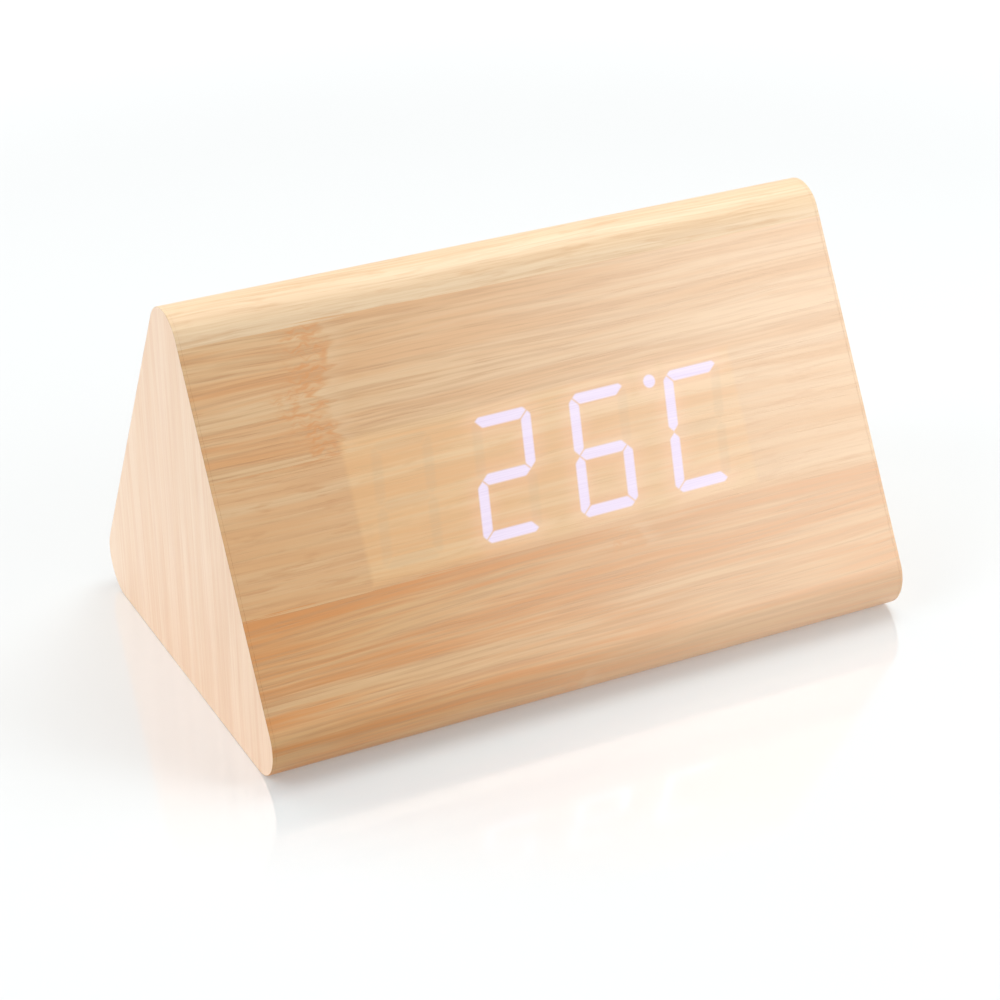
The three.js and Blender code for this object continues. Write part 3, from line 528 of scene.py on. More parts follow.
class SegmentDigit(EffectGroup):
    """One digit of seven strokes: how far a place is from any stroke, and from the lit ones."""

    title = "Segment digit"
    takes = {name: SocketKind.NUMBER for name in ("X", "Y", *STROKE_NAMES)}
    gives = ("Stroke", "Lit")
    far = 100.0  # how far away an unlit stroke counts as, in millimetres
    diagonal = math.sqrt(2.0)

    @classmethod
    def draw(cls, pen: Pen, given: Sockets) -> Sequence[Socket]:
        """Draws the strokes about the digit's middle. Distances are below 0 inside a stroke.

        Args:
            pen: draws in the group's tree.
            given: its inputs by name.

        Returns:
            Its outputs, in order.
        """
        sizes = DisplaySizes()
        half_stroke = sizes.stroke / 2
        half_gap = sizes.gap / 2
        y = given["Y"]
        x = pen.minus(given["X"], pen.times(y, math.tan(sizes.slant)))
        side = pen.minus(sizes.width / 2, pen.size(x))
        level = pen.size(y)
        end = pen.minus(sizes.height / 2, level)
        slope = pen.over(pen.minus(end, side), cls.diagonal)
        corner = pen.over(pen.plus(end, side), cls.diagonal)
        cut_corner = pen.minus(sizes.corner / cls.diagonal, corner)
        from_end = pen.size(pen.minus(end, half_stroke))
        from_side = pen.size(pen.minus(side, half_stroke))
        tip = pen.over(pen.minus(from_side, level), cls.diagonal)
        point = pen.over(pen.minus(pen.plus(level, half_stroke), side), cls.diagonal)

        def joined(*limits: Socket) -> Socket:
            """Returns how far a place is outside several limits, with rounded corners."""
            return pen.fold(Op.ROUND_LARGER, limits, sizes.rounding)

        flat = joined(pen.minus(from_end, half_stroke), pen.plus(slope, half_gap), cut_corner)
        upright = joined(
            pen.minus(from_side, half_stroke), pen.minus(half_gap, slope),
            pen.plus(tip, half_gap), cut_corner,
        )
        middle = joined(pen.minus(level, half_stroke), pen.plus(point, half_gap))
        high = pen.sum(Op.ABOVE, y, 0.0)
        right = pen.sum(Op.ABOVE, x, 0.0)
        lit_flat = pen.between(high, given["d"], given["a"])
        lit_upright = pen.between(
            high,
            pen.between(right, given["e"], given["c"]),
            pen.between(right, given["f"], given["b"]),
        )
        lit = []
        for distance, on in ((flat, lit_flat), (upright, lit_upright), (middle, given["g"])):
            off = pen.times(pen.minus(1.0, on), cls.far)
            lit.append(pen.plus(distance, off))
        return pen.fold(Op.SMALLER, (flat, upright, middle)), pen.fold(Op.SMALLER, lit)


class Glyph(Enum):
    """What one digit shows, as the strokes that are lit."""

    BLANK = ""
    TWO = "abged"
    SIX = "afgedc"
    LETTER_C = "afed"


class LitDisplay(EffectGroup):
    """The display behind the veneer: its window, its unlit and lit strokes, and the glow around them."""

    title = "Lit display"
    takes = {"Along": SocketKind.NUMBER, "Up": SocketKind.NUMBER}
    gives = ("Window", "Stroke", "Lit", "Glow")
    reading = (Glyph.BLANK, Glyph.TWO, Glyph.SIX, Glyph.LETTER_C)
    window_edge = (-0.7, 0.5)
    glow_reach = 4.5
    glow_fall = 2.0
    ghost_blur = 2.0

    @classmethod
    def draw(cls, pen: Pen, given: Sockets) -> Sequence[Socket]:
        """Draws the display. Places are in millimetres from the middle and foot of the front face.

        Args:
            pen: draws in the group's tree.
            given: its inputs by name.

        Returns:
            Its outputs, in order.
        """
        sizes = DisplaySizes()
        along = pen.minus(given["Along"], sizes.shift)
        climb = pen.times(along, math.tan(sizes.tilt))
        up = pen.minus(pen.minus(given["Up"], sizes.rise), climb)
        strokes, lit = [], []
        for index, glyph in enumerate(cls.reading):
            place = (index - (len(cls.reading) - 1) / 2) * sizes.pitch
            switched = {name: float(name in glyph.value) for name in STROKE_NAMES}
            digit = pen.group(SegmentDigit.tree(), X=pen.minus(along, place), Y=up, **switched)
            strokes.append(digit["Stroke"])
            lit.append(digit["Lit"])
        away = pen.node("ShaderNodeVectorMath", operation="DISTANCE")
        pen.feed(away.inputs[0], pen.point(along, up))
        pen.feed(away.inputs[1], (*sizes.dot_place, 0.0))
        lit.append(pen.minus(away.outputs["Value"], sizes.dot_radius))
        stroke = pen.fold(Op.SMALLER, strokes)
        shining = pen.fold(Op.SMALLER, lit)
        half_length = len(cls.reading) * sizes.pitch / 2
        half_height = sizes.height / 2 + sizes.margin
        outside = pen.sum(
            Op.LARGER,
            pen.minus(pen.size(along), half_length),
            pen.minus(pen.size(up), half_height),
        )
        soft = sizes.blur * cls.ghost_blur
        return (
            pen.spread(outside, *cls.window_edge, 1.0, 0.0),
            pen.spread(stroke, -soft, soft, 1.0, 0.0),
            pen.spread(shining, -sizes.blur, sizes.blur, 1.0, 0.0),
            pen.sum(Op.POWER, pen.spread(shining, 0.0, cls.glow_reach, 1.0, 0.0), cls.glow_fall),
        )


@dataclass(frozen=True)
class Finish(ABC):
    """The look of one kind of surface, as one material.

    Attributes:
        name: the material's name.
        slot: the record's material slot that it stands for; not used.
    """

    name: str
    slot: str

    def material(self) -> bpy.types.Material:
        """Makes the material on first use.

        Returns:
            The material.
        """
        found = bpy.data.materials.get(self.name)
        if found:
            return found
        made = bpy.data.materials.new(self.name)
        made.use_nodes = True
        made.node_tree.nodes.clear()
        pen = Pen(made.node_tree)
        surface = pen.node("ShaderNodeBsdfPrincipled")
        output = pen.node("ShaderNodeOutputMaterial")
        pen.feed(output.inputs["Surface"], surface.outputs[0])
        self.shade(pen, surface)
        return made

    @abstractmethod
    def shade(self, pen: Pen, surface: Node) -> None:
        """Draws the finish.

        Args:
            pen: draws in the material's tree.
            surface: its Principled shader.
        """

    def relief(self, pen: Pen, surface: Node, height: Socket, depth: float) -> None:
        """Gives the surface a fine relief, from heights of 0 to 1 and a depth in metres."""
        bump = pen.fed("ShaderNodeBump", {"Distance": depth, "Height": height})
        pen.feed(surface.inputs["Normal"], bump)

    def handled(self, pen: Pen, grit: float) -> Sockets:
        """Places the marks of making and use.

        Args:
            pen: draws in the material's tree.
            grit: the size of the surface's texture, in millimetres.

        Returns:
            The masks of the marks, by name.
        """
        return pen.group(
            Handling.tree(),
            Place=pen.node("ShaderNodeTexCoord").outputs["Object"],
            Pointiness=pen.node("ShaderNodeNewGeometry").outputs["Pointiness"],
            Grit=grit,
        )


class GrainWay(Enum):
    """How the grain runs over a piece."""

    SHEET = "sheet"
    UPRIGHT = "upright"


@dataclass(frozen=True)
class Knuckle:
    """One knuckle of a bamboo strip, in millimetres on the bent sheet.

    Attributes:
        place: where the fibres end, along the grain.
        low, high: the edges of its strip.
        reach: how far the fibres darken before it.
    """

    place: float
    low: float
    high: float
    reach: float


@dataclass(frozen=True)
class Strip:
    """One of the bamboo strips that make up the sheet.

    Attributes:
        tone: 0 for a pale strip, 1 for a warm one.
        streaks, lines, dashes: how strong its streaks, thin lines and short dashes are.
    """

    tone: float
    streaks: float
    lines: float
    dashes: float


@dataclass(frozen=True)
class ShineThrough:
    """How the lit display looks through the veneer.

    Attributes, where the name alone doesn't say it:
        film: the colour that the film behind the window gives the wood.
        film_run, film_shares: two places along the case, in millimetres, and how much of it shows there.
        streaks: how strong the wood's streaks are over the window.
        ghost, hidden: the colours of the wood over an unlit and over a lit stroke.
        fibre_light, fibre_levels: the light through a dense fibre, and where it starts and is full.
        glow: the light around the lit strokes.
    """

    film: Colour = (0.88, 0.61, 0.31)
    film_run: Span = (-40.0, 45.0)
    film_shares: Span = (0.29, 0.17)
    streaks: float = 0.75
    ghost: Colour = (0.36, 0.32, 0.23)
    ghost_share: float = 0.10
    hidden: Colour = (0.14, 0.12, 0.15)
    hidden_share: float = 0.90
    light: Colour = (0.645, 0.585, 0.735)
    fibre_light: Colour = (0.57, 0.50, 0.67)
    fibre_levels: Span = (0.25, 0.8)
    glow: Colour = (0.050, 0.026, 0.036)
    strength: float = 1.0


@dataclass(frozen=True)
class WoodVeneer(Finish):
    """Satin bamboo veneer with straight grain, and with the lit display where it has one.

    Attributes, where the name alone doesn't say it:
        pale, warm: the colours of its lightest and of its darker strips.
        line: the colour of its thin lines and pores.
        painted_sheen_colour, painted_sheen_share: a painted sheen's pale colour along the length, and its
        share.
        painted_sheen_run, painted_sheen_tones: where, in millimetres, and on which tones that painted sheen
            grows.
        seed, sway: which grain it has among many, and how far that bends.
        strip_width, strip_start: how wide a strip is and where the first one ends, in millimetres.
        strip_shift: how far apart the grain of a pale and of a warm strip is taken, in millimetres.
        drift: how far the tone wanders along a strip.
        frays, fray_reach: the fibres that run over from strip to strip, and how far, in millimetres.
        seam, fibres: how seams and fibres darken it: from where, to where, and how much at each.
        knuckle_streaks: how strong the streaks are before the first knuckle.
        pores: how strong the pores are against the thin lines.
        pore_relief, relief_depth: the pores' share of the relief, and its depth in millimetres.
        rough: its roughness beside the streaks and on them.
        display: how the display shines through, where it does.
    """

    way: GrainWay = GrainWay.SHEET
    pale: Colour = (0.74, 0.56, 0.355)
    warm: Colour = (0.60, 0.345, 0.14)
    streak: Colour = (0.60, 0.255, 0.072)
    line: Colour = (0.47, 0.245, 0.10)
    dash: Colour = (0.55, 0.29, 0.12)
    painted_sheen_colour: Colour = (0.88, 0.68, 0.50)
    painted_sheen_share: float = 0.42
    painted_sheen_run: Span = (-52.0, 46.0)
    painted_sheen_tones: Span = (0.0, 0.6)
    seed: float = 3.7
    sway: float = 1.0
    strips: tuple[Strip, ...] = (Strip(0.5, 0.6, 0.4, 0.2),)
    strip_width: float = 21.75
    strip_start: float = 7.75
    strip_shift: float = 400.0
    drift: float = 0.26
    frays: Streaks = Streaks(26.0, 0.5, 2.0, 0.6)
    fray_reach: float = 2.0
    seam: tuple[float, ...] = (0.03, 0.2, 0.18, 0.0)
    knuckles: tuple[Knuckle, ...] = ()
    knuckle_streaks: float = 0.62
    knuckle_pale: float = 0.14
    knuckle_mark: float = 0.70
    pores: float = 0.7
    fibres: tuple[float, ...] = (0.3, 0.75, 0.0, 0.10)
    pore_relief: float = 0.55
    relief_depth: float = 0.014
    rough: Span = (0.42, 0.50)
    refraction: float = 1.55
    display: Union[ShineThrough, None] = None

    def place(self, pen: Pen) -> tuple[Socket, Socket]:
        """Finds where on the grain a place lies.

        Args:
            pen: draws in the material's tree.

        Returns:
            The places along and across the grain, in millimetres.
        """
        if self.way is GrainWay.SHEET:
            along, across, _ = pen.parts(pen.node("ShaderNodeUVMap", uv_map=SHEET_MAP).outputs[0])
            return along, across
        spot = pen.node("ShaderNodeTexCoord").outputs["Object"]
        _, across, along = pen.parts(spot)
        return pen.over(along, MM), pen.over(across, MM)

    def fray(self, pen: Pen, along: Socket, across: Socket) -> Socket:
        """Shifts places across the grain a little, so that fibres of neighbouring strips run together."""
        fibre = pen.streaks(along, across, self.frays, self.seed)
        return pen.plus(across, pen.times(pen.minus(fibre, MIDDLE), self.fray_reach))

    def pick_strip(self, pen: Pen, across: Socket) -> tuple[Socket, ...]:
        """Finds which strip a place lies in.

        Args:
            pen: draws in the material's tree.
            across: the place across the grain.

        Returns:
            The strip's tone, and the strength of its streaks, of its lines and of its dashes.
        """
        from_start = pen.minus(across, self.strip_start - self.strip_width)
        count = len(self.strips)
        ramp = pen.node("ShaderNodeValToRGB")
        pen.feed(ramp.inputs[0], pen.over(from_start, count * self.strip_width))
        ramp.color_ramp.interpolation = "CONSTANT"
        elements = ramp.color_ramp.elements
        while len(elements) > 1:
            elements.remove(elements[-1])
        for index, strip in enumerate(self.strips):
            element = elements[0] if index == 0 else elements.new(index / count)
            element.position = index / count
            element.color = (strip.tone, strip.streaks, strip.lines, strip.dashes)
        colours = pen.split("ShaderNodeSeparateColor", ramp.outputs["Color"])
        return (*colours, ramp.outputs["Alpha"])

    def shade(self, pen: Pen, surface: Node) -> None:
        """Draws the wood, a painted sheen along the length of a sheet, and the display over it.

        Args:
            pen: draws in the material's tree.
            surface: its Principled shader.
        """
        along, across = self.place(pen)
        frayed = self.fray(pen, along, across)
        strip_tone, strip_streaks, strip_lines, strip_dashes = self.pick_strip(pen, frayed)
        shifted = pen.plus(along, pen.times(strip_tone, self.strip_shift))
        grain = pen.group(
            StraightGrain.tree(), Along=shifted, Across=across, Seed=self.seed, Sway=self.sway,
        )
        knots = [
            pen.group(
                KnuckleBand.tree(), Along=along, Across=across, Place=knuckle.place,
                Low=knuckle.low, High=knuckle.high, Reach=knuckle.reach,
            )
            for knuckle in self.knuckles
        ]
        if knots:
            strip_streaks = pen.between(knots[0]["Before"], strip_streaks, self.knuckle_streaks)
        if self.display:
            masks = pen.group(LitDisplay.tree(), Along=along, Up=across)
            strip_streaks = pen.between(masks["Window"], strip_streaks, self.display.streaks)
        drift = pen.times(pen.minus(grain["Tone"], MIDDLE), self.drift)
        colour = pen.tint(pen.plus(strip_tone, drift), self.pale, self.warm)
        pores = pen.times(strip_lines, self.pores)
        for mark, strength, tint in (
            ("Streak", strip_streaks, self.streak), ("Line", strip_lines, self.line),
            ("Dash", strip_dashes, self.dash), ("Pore", pores, self.line),
        ):
            colour = pen.tint(pen.times(grain[mark], strength), colour, tint)
        colour = pen.tint(pen.spread(grain["Fibre"], *self.fibres), colour, self.warm, "MULTIPLY")
        for knot in knots:
            colour = pen.tint(pen.times(knot["Pale"], self.knuckle_pale), colour, self.pale)
            colour = pen.tint(pen.times(knot["Mark"], self.knuckle_mark), colour, self.streak)
        if self.way is GrainWay.SHEET:
            from_seam = pen.sum(Op.WRAP, pen.minus(frayed, self.strip_start), self.strip_width / 2)
            colour = pen.tint(pen.spread(from_seam, *self.seam), colour, self.streak)
            # Painted sheen: the sheet turns paler towards its right end, painted in where a lamp's sheen
            # falls.
            sheen_mask = pen.spread(along, *self.painted_sheen_run, 0.0, self.painted_sheen_share)
            sheen_mask = pen.times(sheen_mask, pen.spread(strip_tone, *self.painted_sheen_tones))
            colour = pen.tint(sheen_mask, colour, self.painted_sheen_colour)
        relief = pen.between(self.pore_relief, grain["Fibre"], pen.minus(1.0, grain["Pore"]))
        self.relief(pen, surface, relief, self.relief_depth * MM)
        rough = pen.between(grain["Streak"], *self.rough)
        if self.display:
            colour = self.shine(pen, surface, masks, along, colour, grain["Fibre"])
        pen.fill(surface, {"Base Color": colour, "Roughness": rough, "IOR": self.refraction})

    def shine(
        self, pen: Pen, surface: Node, masks: Sockets, along: Socket,
        wood: Socket, fibre: Socket,
    ) -> Socket:
        """Lets the display shine through the wood.

        Args:
            pen: draws in the material's tree.
            surface: its shader.
            masks: the masks of the display.
            along: the place along the case.
            wood: the colour of the wood.
            fibre: the silky fibres, which dim the light a little.

        Returns:
            The colour of the wood over the display.
        """
        looks = self.display
        film = pen.times(masks["Window"], pen.spread(along, *looks.film_run, *looks.film_shares))
        colour = pen.tint(film, wood, looks.film)
        colour = pen.tint(pen.times(masks["Stroke"], looks.ghost_share), colour, looks.ghost)
        colour = pen.tint(pen.times(masks["Lit"], looks.hidden_share), colour, looks.hidden)
        glow = pen.tint(masks["Glow"], BLACK, looks.glow)
        light = pen.tint(pen.spread(fibre, *looks.fibre_levels), looks.light, looks.fibre_light)
        pen.fill(surface, {
            "Emission Color": pen.tint(masks["Lit"], glow, light),
            "Emission Strength": looks.strength,
        })
        return colour


@dataclass(frozen=True)
class HardFinish(Finish):
    """A hard, even surface, such as moulded plastic or plated metal, with the marks of making and use.

    Attributes, where the name alone doesn't say it:
        worn, wear: its colour where edges are rubbed, and how strongly they are.
        rough, smudged: its roughness, clean and where it was touched.
        metal: 1 for a metal.
        grit, depth: the size and the depth of its texture, in millimetres.
        shine: how strongly it reflects, 0.5 for most plastics.
        deepening, texture_levels: how dark its texture's grains are, and where they start and are full.
    """

    colour: Colour = (0.5, 0.5, 0.5)
    worn: Colour = (0.6, 0.6, 0.6)
    rough: float = 0.5
    smudged: float = 0.4
    metal: float = 0.0
    grit: float = 0.25
    depth: float = 0.012
    shine: float = 0.5
    deepening: float = 0.82
    texture_levels: Span = (0.3, 0.7)
    wear: float = 0.7

    def shade(self, pen: Pen, surface: Node) -> None:
        """Draws the texture, the smudges and the rubbed edges.

        Args:
            pen: draws in the material's tree.
            surface: its Principled shader.
        """
        marks = self.handled(pen, self.grit)
        deeper = tuple(part * self.deepening for part in self.colour)
        colour = pen.tint(pen.spread(marks["Texture"], *self.texture_levels), self.colour, deeper)
        pen.fill(surface, {
            "Base Color": pen.tint(pen.times(marks["Worn Edge"], self.wear), colour, self.worn),
            "Roughness": pen.between(marks["Smudge"], self.rough, self.smudged),
            "Metallic": self.metal,
            "Specular IOR Level": self.shine,
        })
        self.relief(pen, surface, marks["Texture"], self.depth * MM)


@dataclass(frozen=True)
class PrintedSleeve(Finish):
    """The shrunk-on sleeve of a cell, in two plain colours, with the bare steel of its ends.

    Attributes, where the name alone doesn't say it:
        band, stripe: the colours of the end with the nub and of the thin ring before it.
        band_start: how far the band starts from the flat end, in millimetres.
        bare: how far each end is bare, in millimetres.
        length: of the cell without its nub, in millimetres.
        wrinkle_reach: from where to where the wrinkles fade from each end, in millimetres.
        rough: the sleeve's roughness, clean and smudged.
    """

    body: Colour = (0.03, 0.085, 0.23)
    band: Colour = (0.42, 0.43, 0.45)
    stripe: Colour = (0.72, 0.72, 0.70)
    steel: Colour = (0.58, 0.57, 0.55)
    band_start: float = 31.5
    stripe_width: float = 0.5
    bare: float = 0.3
    length: float = 43.7
    grit: float = 0.3
    wear: float = 0.15
    wrinkle: float = 0.7
    wrinkle_reach: Span = (0.4, 2.2)
    wrinkle_depth: float = 0.08
    rough: Span = (0.22, 0.36)
    steel_rough: float = 0.34

    def shade(self, pen: Pen, surface: Node) -> None:
        """Draws the bands, the steel ends and the wrinkles where the sleeve shrank over them.

        Args:
            pen: draws in the material's tree.
            surface: its Principled shader.
        """
        along, _, _ = pen.parts(pen.node("ShaderNodeUVMap", uv_map=SHEET_MAP).outputs[0])
        spot = pen.node("ShaderNodeTexCoord").outputs["Object"]
        marks = self.handled(pen, self.grit)
        past = pen.minus(along, self.band_start)
        colour = pen.tint(pen.sum(Op.ABOVE, past, 0.0), self.body, self.band)
        ring = pen.minus(self.stripe_width, pen.size(past))
        colour = pen.tint(pen.sum(Op.ABOVE, ring, 0.0), colour, self.stripe)
        colour = pen.tint(pen.times(marks["Worn Edge"], self.wear), colour, self.stripe)
        from_end = pen.sum(Op.SMALLER, along, pen.minus(self.length, along))
        covered = pen.sum(Op.ABOVE, from_end, self.bare)
        near_end = pen.spread(from_end, *self.wrinkle_reach, 1.0, 0.0)
        wrinkles = pen.times(pen.noise(spot, self.wrinkle * MM), near_end)
        sleeve_rough = pen.between(marks["Smudge"], *self.rough)
        pen.fill(surface, {
            "Base Color": pen.tint(covered, self.steel, colour),
            "Metallic": pen.between(covered, 1.0, 0.0),
            "Roughness": pen.between(covered, self.steel_rough, sleeve_rough),
        })
        self.relief(pen, surface, wrinkles, self.wrinkle_depth * MM)


FRONT_VENEER = WoodVeneer(
    "bamboo_front", "veneer", display=ShineThrough(),
    strips=(
        Strip(1.00, 0.95, 0.45, 0.1), Strip(0.78, 0.98, 0.55, 0.1), Strip(0.66, 0.38, 0.24, 0.8),
        Strip(0.60, 0.38, 0.50, 0.2), Strip(0.00, 0.08, 0.22, 0.3), Strip(0.64, 0.50, 0.40, 0.2),
        Strip(0.84, 0.60, 0.35, 0.1), Strip(0.60, 0.35, 0.40, 0.4),
    ),
    knuckles=(
        Knuckle(-36.0, 51.3, 73.0, 9.0), Knuckle(11.0, 25.2, 29.4, 7.0), Knuckle(-4.0, 2.0, 7.7, 7.0),
    ),
)
BASE_VENEER = WoodVeneer(
    "bamboo_base", "veneer", seed=21.3, painted_sheen_share=0.0, strip_start=-21.75,
    strips=(
        Strip(0.60, 0.5, 0.4, 0.2), Strip(0.75, 0.6, 0.4, 0.1), Strip(0.55, 0.3, 0.3, 0.5),
        Strip(0.8, 0.6, 0.3, 0.1),
    ),
)
END_VENEER = WoodVeneer(
    "bamboo_end", "end_veneer", way=GrainWay.UPRIGHT, seed=8.4, sway=0.5,
    strips=(Strip(0.4, 0.25, 0.25, 0.0),),
    pale=(0.885, 0.685, 0.505), warm=(0.845, 0.605, 0.43), streak=(0.79, 0.50, 0.32),
    line=(0.75, 0.46, 0.30),
)
FIBREBOARD = HardFinish(
    "pressed_fibreboard", "fibreboard", colour=(0.40, 0.24, 0.12), worn=(0.46, 0.30, 0.17),
    rough=0.9, smudged=0.8, grit=0.5, depth=0.05,
)
BLACK_PLASTIC = HardFinish(
    "moulded_black", "black_plastic", colour=(0.011, 0.011, 0.012), worn=(0.035, 0.035, 0.036),
    rough=0.52, smudged=0.46, shine=0.3,
)
WHITE_PLASTIC = HardFinish(
    "moulded_white", "white_plastic", colour=(0.84, 0.84, 0.82), worn=(0.88, 0.88, 0.86), rough=0.45,
)
MILKY_FILM = HardFinish(
    "frosted_film", "milky_film", colour=(0.88, 0.87, 0.92), worn=(0.9, 0.9, 0.94), rough=0.4,
)
CIRCUIT_GREEN = HardFinish(
    "circuit_green", "circuit", colour=(0.03, 0.14, 0.06), worn=(0.5, 0.4, 0.2), rough=0.35, smudged=0.5,
)
TIN = HardFinish(
    "tinned_steel", "tin", colour=(0.56, 0.57, 0.58), worn=(0.75, 0.75, 0.76),
    rough=0.32, smudged=0.42, metal=1.0, grit=0.12, depth=0.004,
)
NICKEL = HardFinish(
    "nickel_plate", "nickel", colour=(0.56, 0.52, 0.46), worn=(0.75, 0.72, 0.68),
    rough=0.24, smudged=0.36, metal=1.0, grit=0.12, depth=0.003,
)
CELL_SLEEVE = PrintedSleeve("shrunk_sleeve", "cell_sleeve")
SENSOR_RESIN = HardFinish(
    "dipped_resin", "sensor_resin", colour=(0.6, 0.45, 0.28), worn=(0.66, 0.5, 0.34), rough=0.35,
)
GREY_RIBBON = HardFinish(
    "ribbon_sheath", "grey_ribbon", colour=(0.32, 0.33, 0.35), worn=(0.4, 0.41, 0.43), rough=0.6,
)
RED_WIRE = HardFinish(
    "red_sheath", "red_wire", colour=(0.45, 0.02, 0.013), worn=(0.5, 0.06, 0.04), rough=0.45,
)
BLACK_WIRE = HardFinish(
    "black_sheath", "black_wire", colour=(0.01, 0.01, 0.011), worn=(0.04, 0.04, 0.04), rough=0.45,
)


AXIS_X = Vector((1.0, 0.0, 0.0))
AXIS_Y = Vector((0.0, 1.0, 0.0))
AXIS_Z = Vector((0.0, 0.0, 1.0))


def frame_at(origin: Vector, x: Vector, y: Vector, z: Vector) -> Matrix:
    """Puts a frame together.

    Args:
        origin: its origin.
        x, y, z: its axes.

    Returns:
        The frame.
    """
    made = Matrix((x, y, z)).transposed().to_4x4()
    made.translation = origin
    return made


class Corner(Enum):
    """The corners of the case's three-sided section."""

    FRONT = "front"
    REAR = "rear"
    APEX = "apex"


@dataclass(frozen=True)
class SectionPoint:
    """A point of the section: its place along Y, its height and how far up the bent sheet it lies."""

    y: float
    z: float
    run: float


@dataclass(frozen=True)
class CaseSection:
    """The triangle with rounded corners across the case.

    Attributes:
        base_depth: between the sharp corners that the lower rounded edges replace.
        apex_height: of the sharp corner that the rounded ridge replaces.
        edge_radius: of the three rounded edges.
        arc_steps: steps round each edge.
        flat_steps: steps up each sloping face.
    """

    base_depth: float = 85 * MM
    apex_height: float = 74.5 * MM
    edge_radius: float = 6.5 * MM
    arc_steps: int = 40
    flat_steps: int = 12

    @property
    def slope(self) -> float:
        """The angle of each sloping face to the table."""
        return math.atan2(self.apex_height, self.base_depth / 2)

    @property
    def inradius(self) -> float:
        """The radius of the circle that touches all three sides."""
        side = math.hypot(self.apex_height, self.base_depth / 2)
        return self.base_depth * self.apex_height / (self.base_depth + 2 * side)

    def arc_centre(self, corner: Corner) -> Vector:
        """Finds the middle of a rounded edge.

        Args:
            corner: which edge.

        Returns:
            Its Y and Z.
        """
        sharp = {
            Corner.FRONT: Vector((-self.base_depth / 2, 0.0)),
            Corner.REAR: Vector((self.base_depth / 2, 0.0)),
            Corner.APEX: Vector((0.0, self.apex_height)),
        }[corner]
        middle = Vector((0.0, self.inradius))
        return middle + (sharp - middle) * (1 - self.edge_radius / self.inradius)

    def bent_sheet(self, inset: float) -> list[SectionPoint]:
        """Follows the sheet from the base up the front, over the ridge and down the back.

        Args:
            inset: how far inside the outer face the points lie.

        Returns:
            The points, with their runs measured on the outer face from the front's sharp lower corner.
        """
        up_front = math.pi / 2 + self.slope
        down_back = math.pi / 2 - self.slope
        turns = (
            (Corner.FRONT, 1.5 * math.pi, up_front),
            (Corner.APEX, up_front, down_back),
            (Corner.REAR, down_back, -0.5 * math.pi),
        )
        tangent = self.edge_radius / math.tan(self.slope / 2)
        run = tangent - self.edge_radius * (1.5 * math.pi - up_front)
        points: list[SectionPoint] = []
        for corner, start, end in turns:
            centre = self.arc_centre(corner)
            for step in range(self.arc_steps + 1):
                angle = start + (end - start) * step / self.arc_steps
                radius = self.edge_radius - inset
                y = centre.x + radius * math.cos(angle)
                z = centre.y + radius * math.sin(angle)
                if step == 0 and points:
                    run = self.cross_flat(points, y, z, run)
                turned = self.edge_radius * abs(end - start) * step / self.arc_steps
                points.append(SectionPoint(y, z, run + turned))
            run += self.edge_radius * abs(end - start)
        return points

    def cross_flat(self, points: list[SectionPoint], y: float, z: float, run: float) -> float:
        """Adds the points inside a flat face.

        Args:
            points: the points so far, which gain those of the flat.
            y, z: where the flat ends.
            run: the run where the flat starts.

        Returns:
            The run where the flat ends.
        """
        last = points[-1]
        length = math.hypot(y - last.y, z - last.z)
        for step in range(1, self.flat_steps):
            share = step / self.flat_steps
            points.append(SectionPoint(
                last.y + (y - last.y) * share, last.z + (z - last.z) * share, run + length * share,
            ))
        return run + length

    def rear_place(self, along: float, rise: float, out: float) -> Matrix:
        """A frame on the rear face.

        Args:
            along: the place along X.
            rise: how far up the face from its sharp lower corner.
            out: how far out of the face.

        Returns:
            The frame: X along the face, Y up it, Z out of it.
        """
        across = Vector((-1.0, 0.0, 0.0))
        up = Vector((0.0, -math.cos(self.slope), math.sin(self.slope)))
        normal = Vector((0.0, math.sin(self.slope), math.cos(self.slope)))
        origin = Vector((along, self.base_depth / 2, 0.0)) + up * rise + normal * out
        return frame_at(origin, across, up, normal)


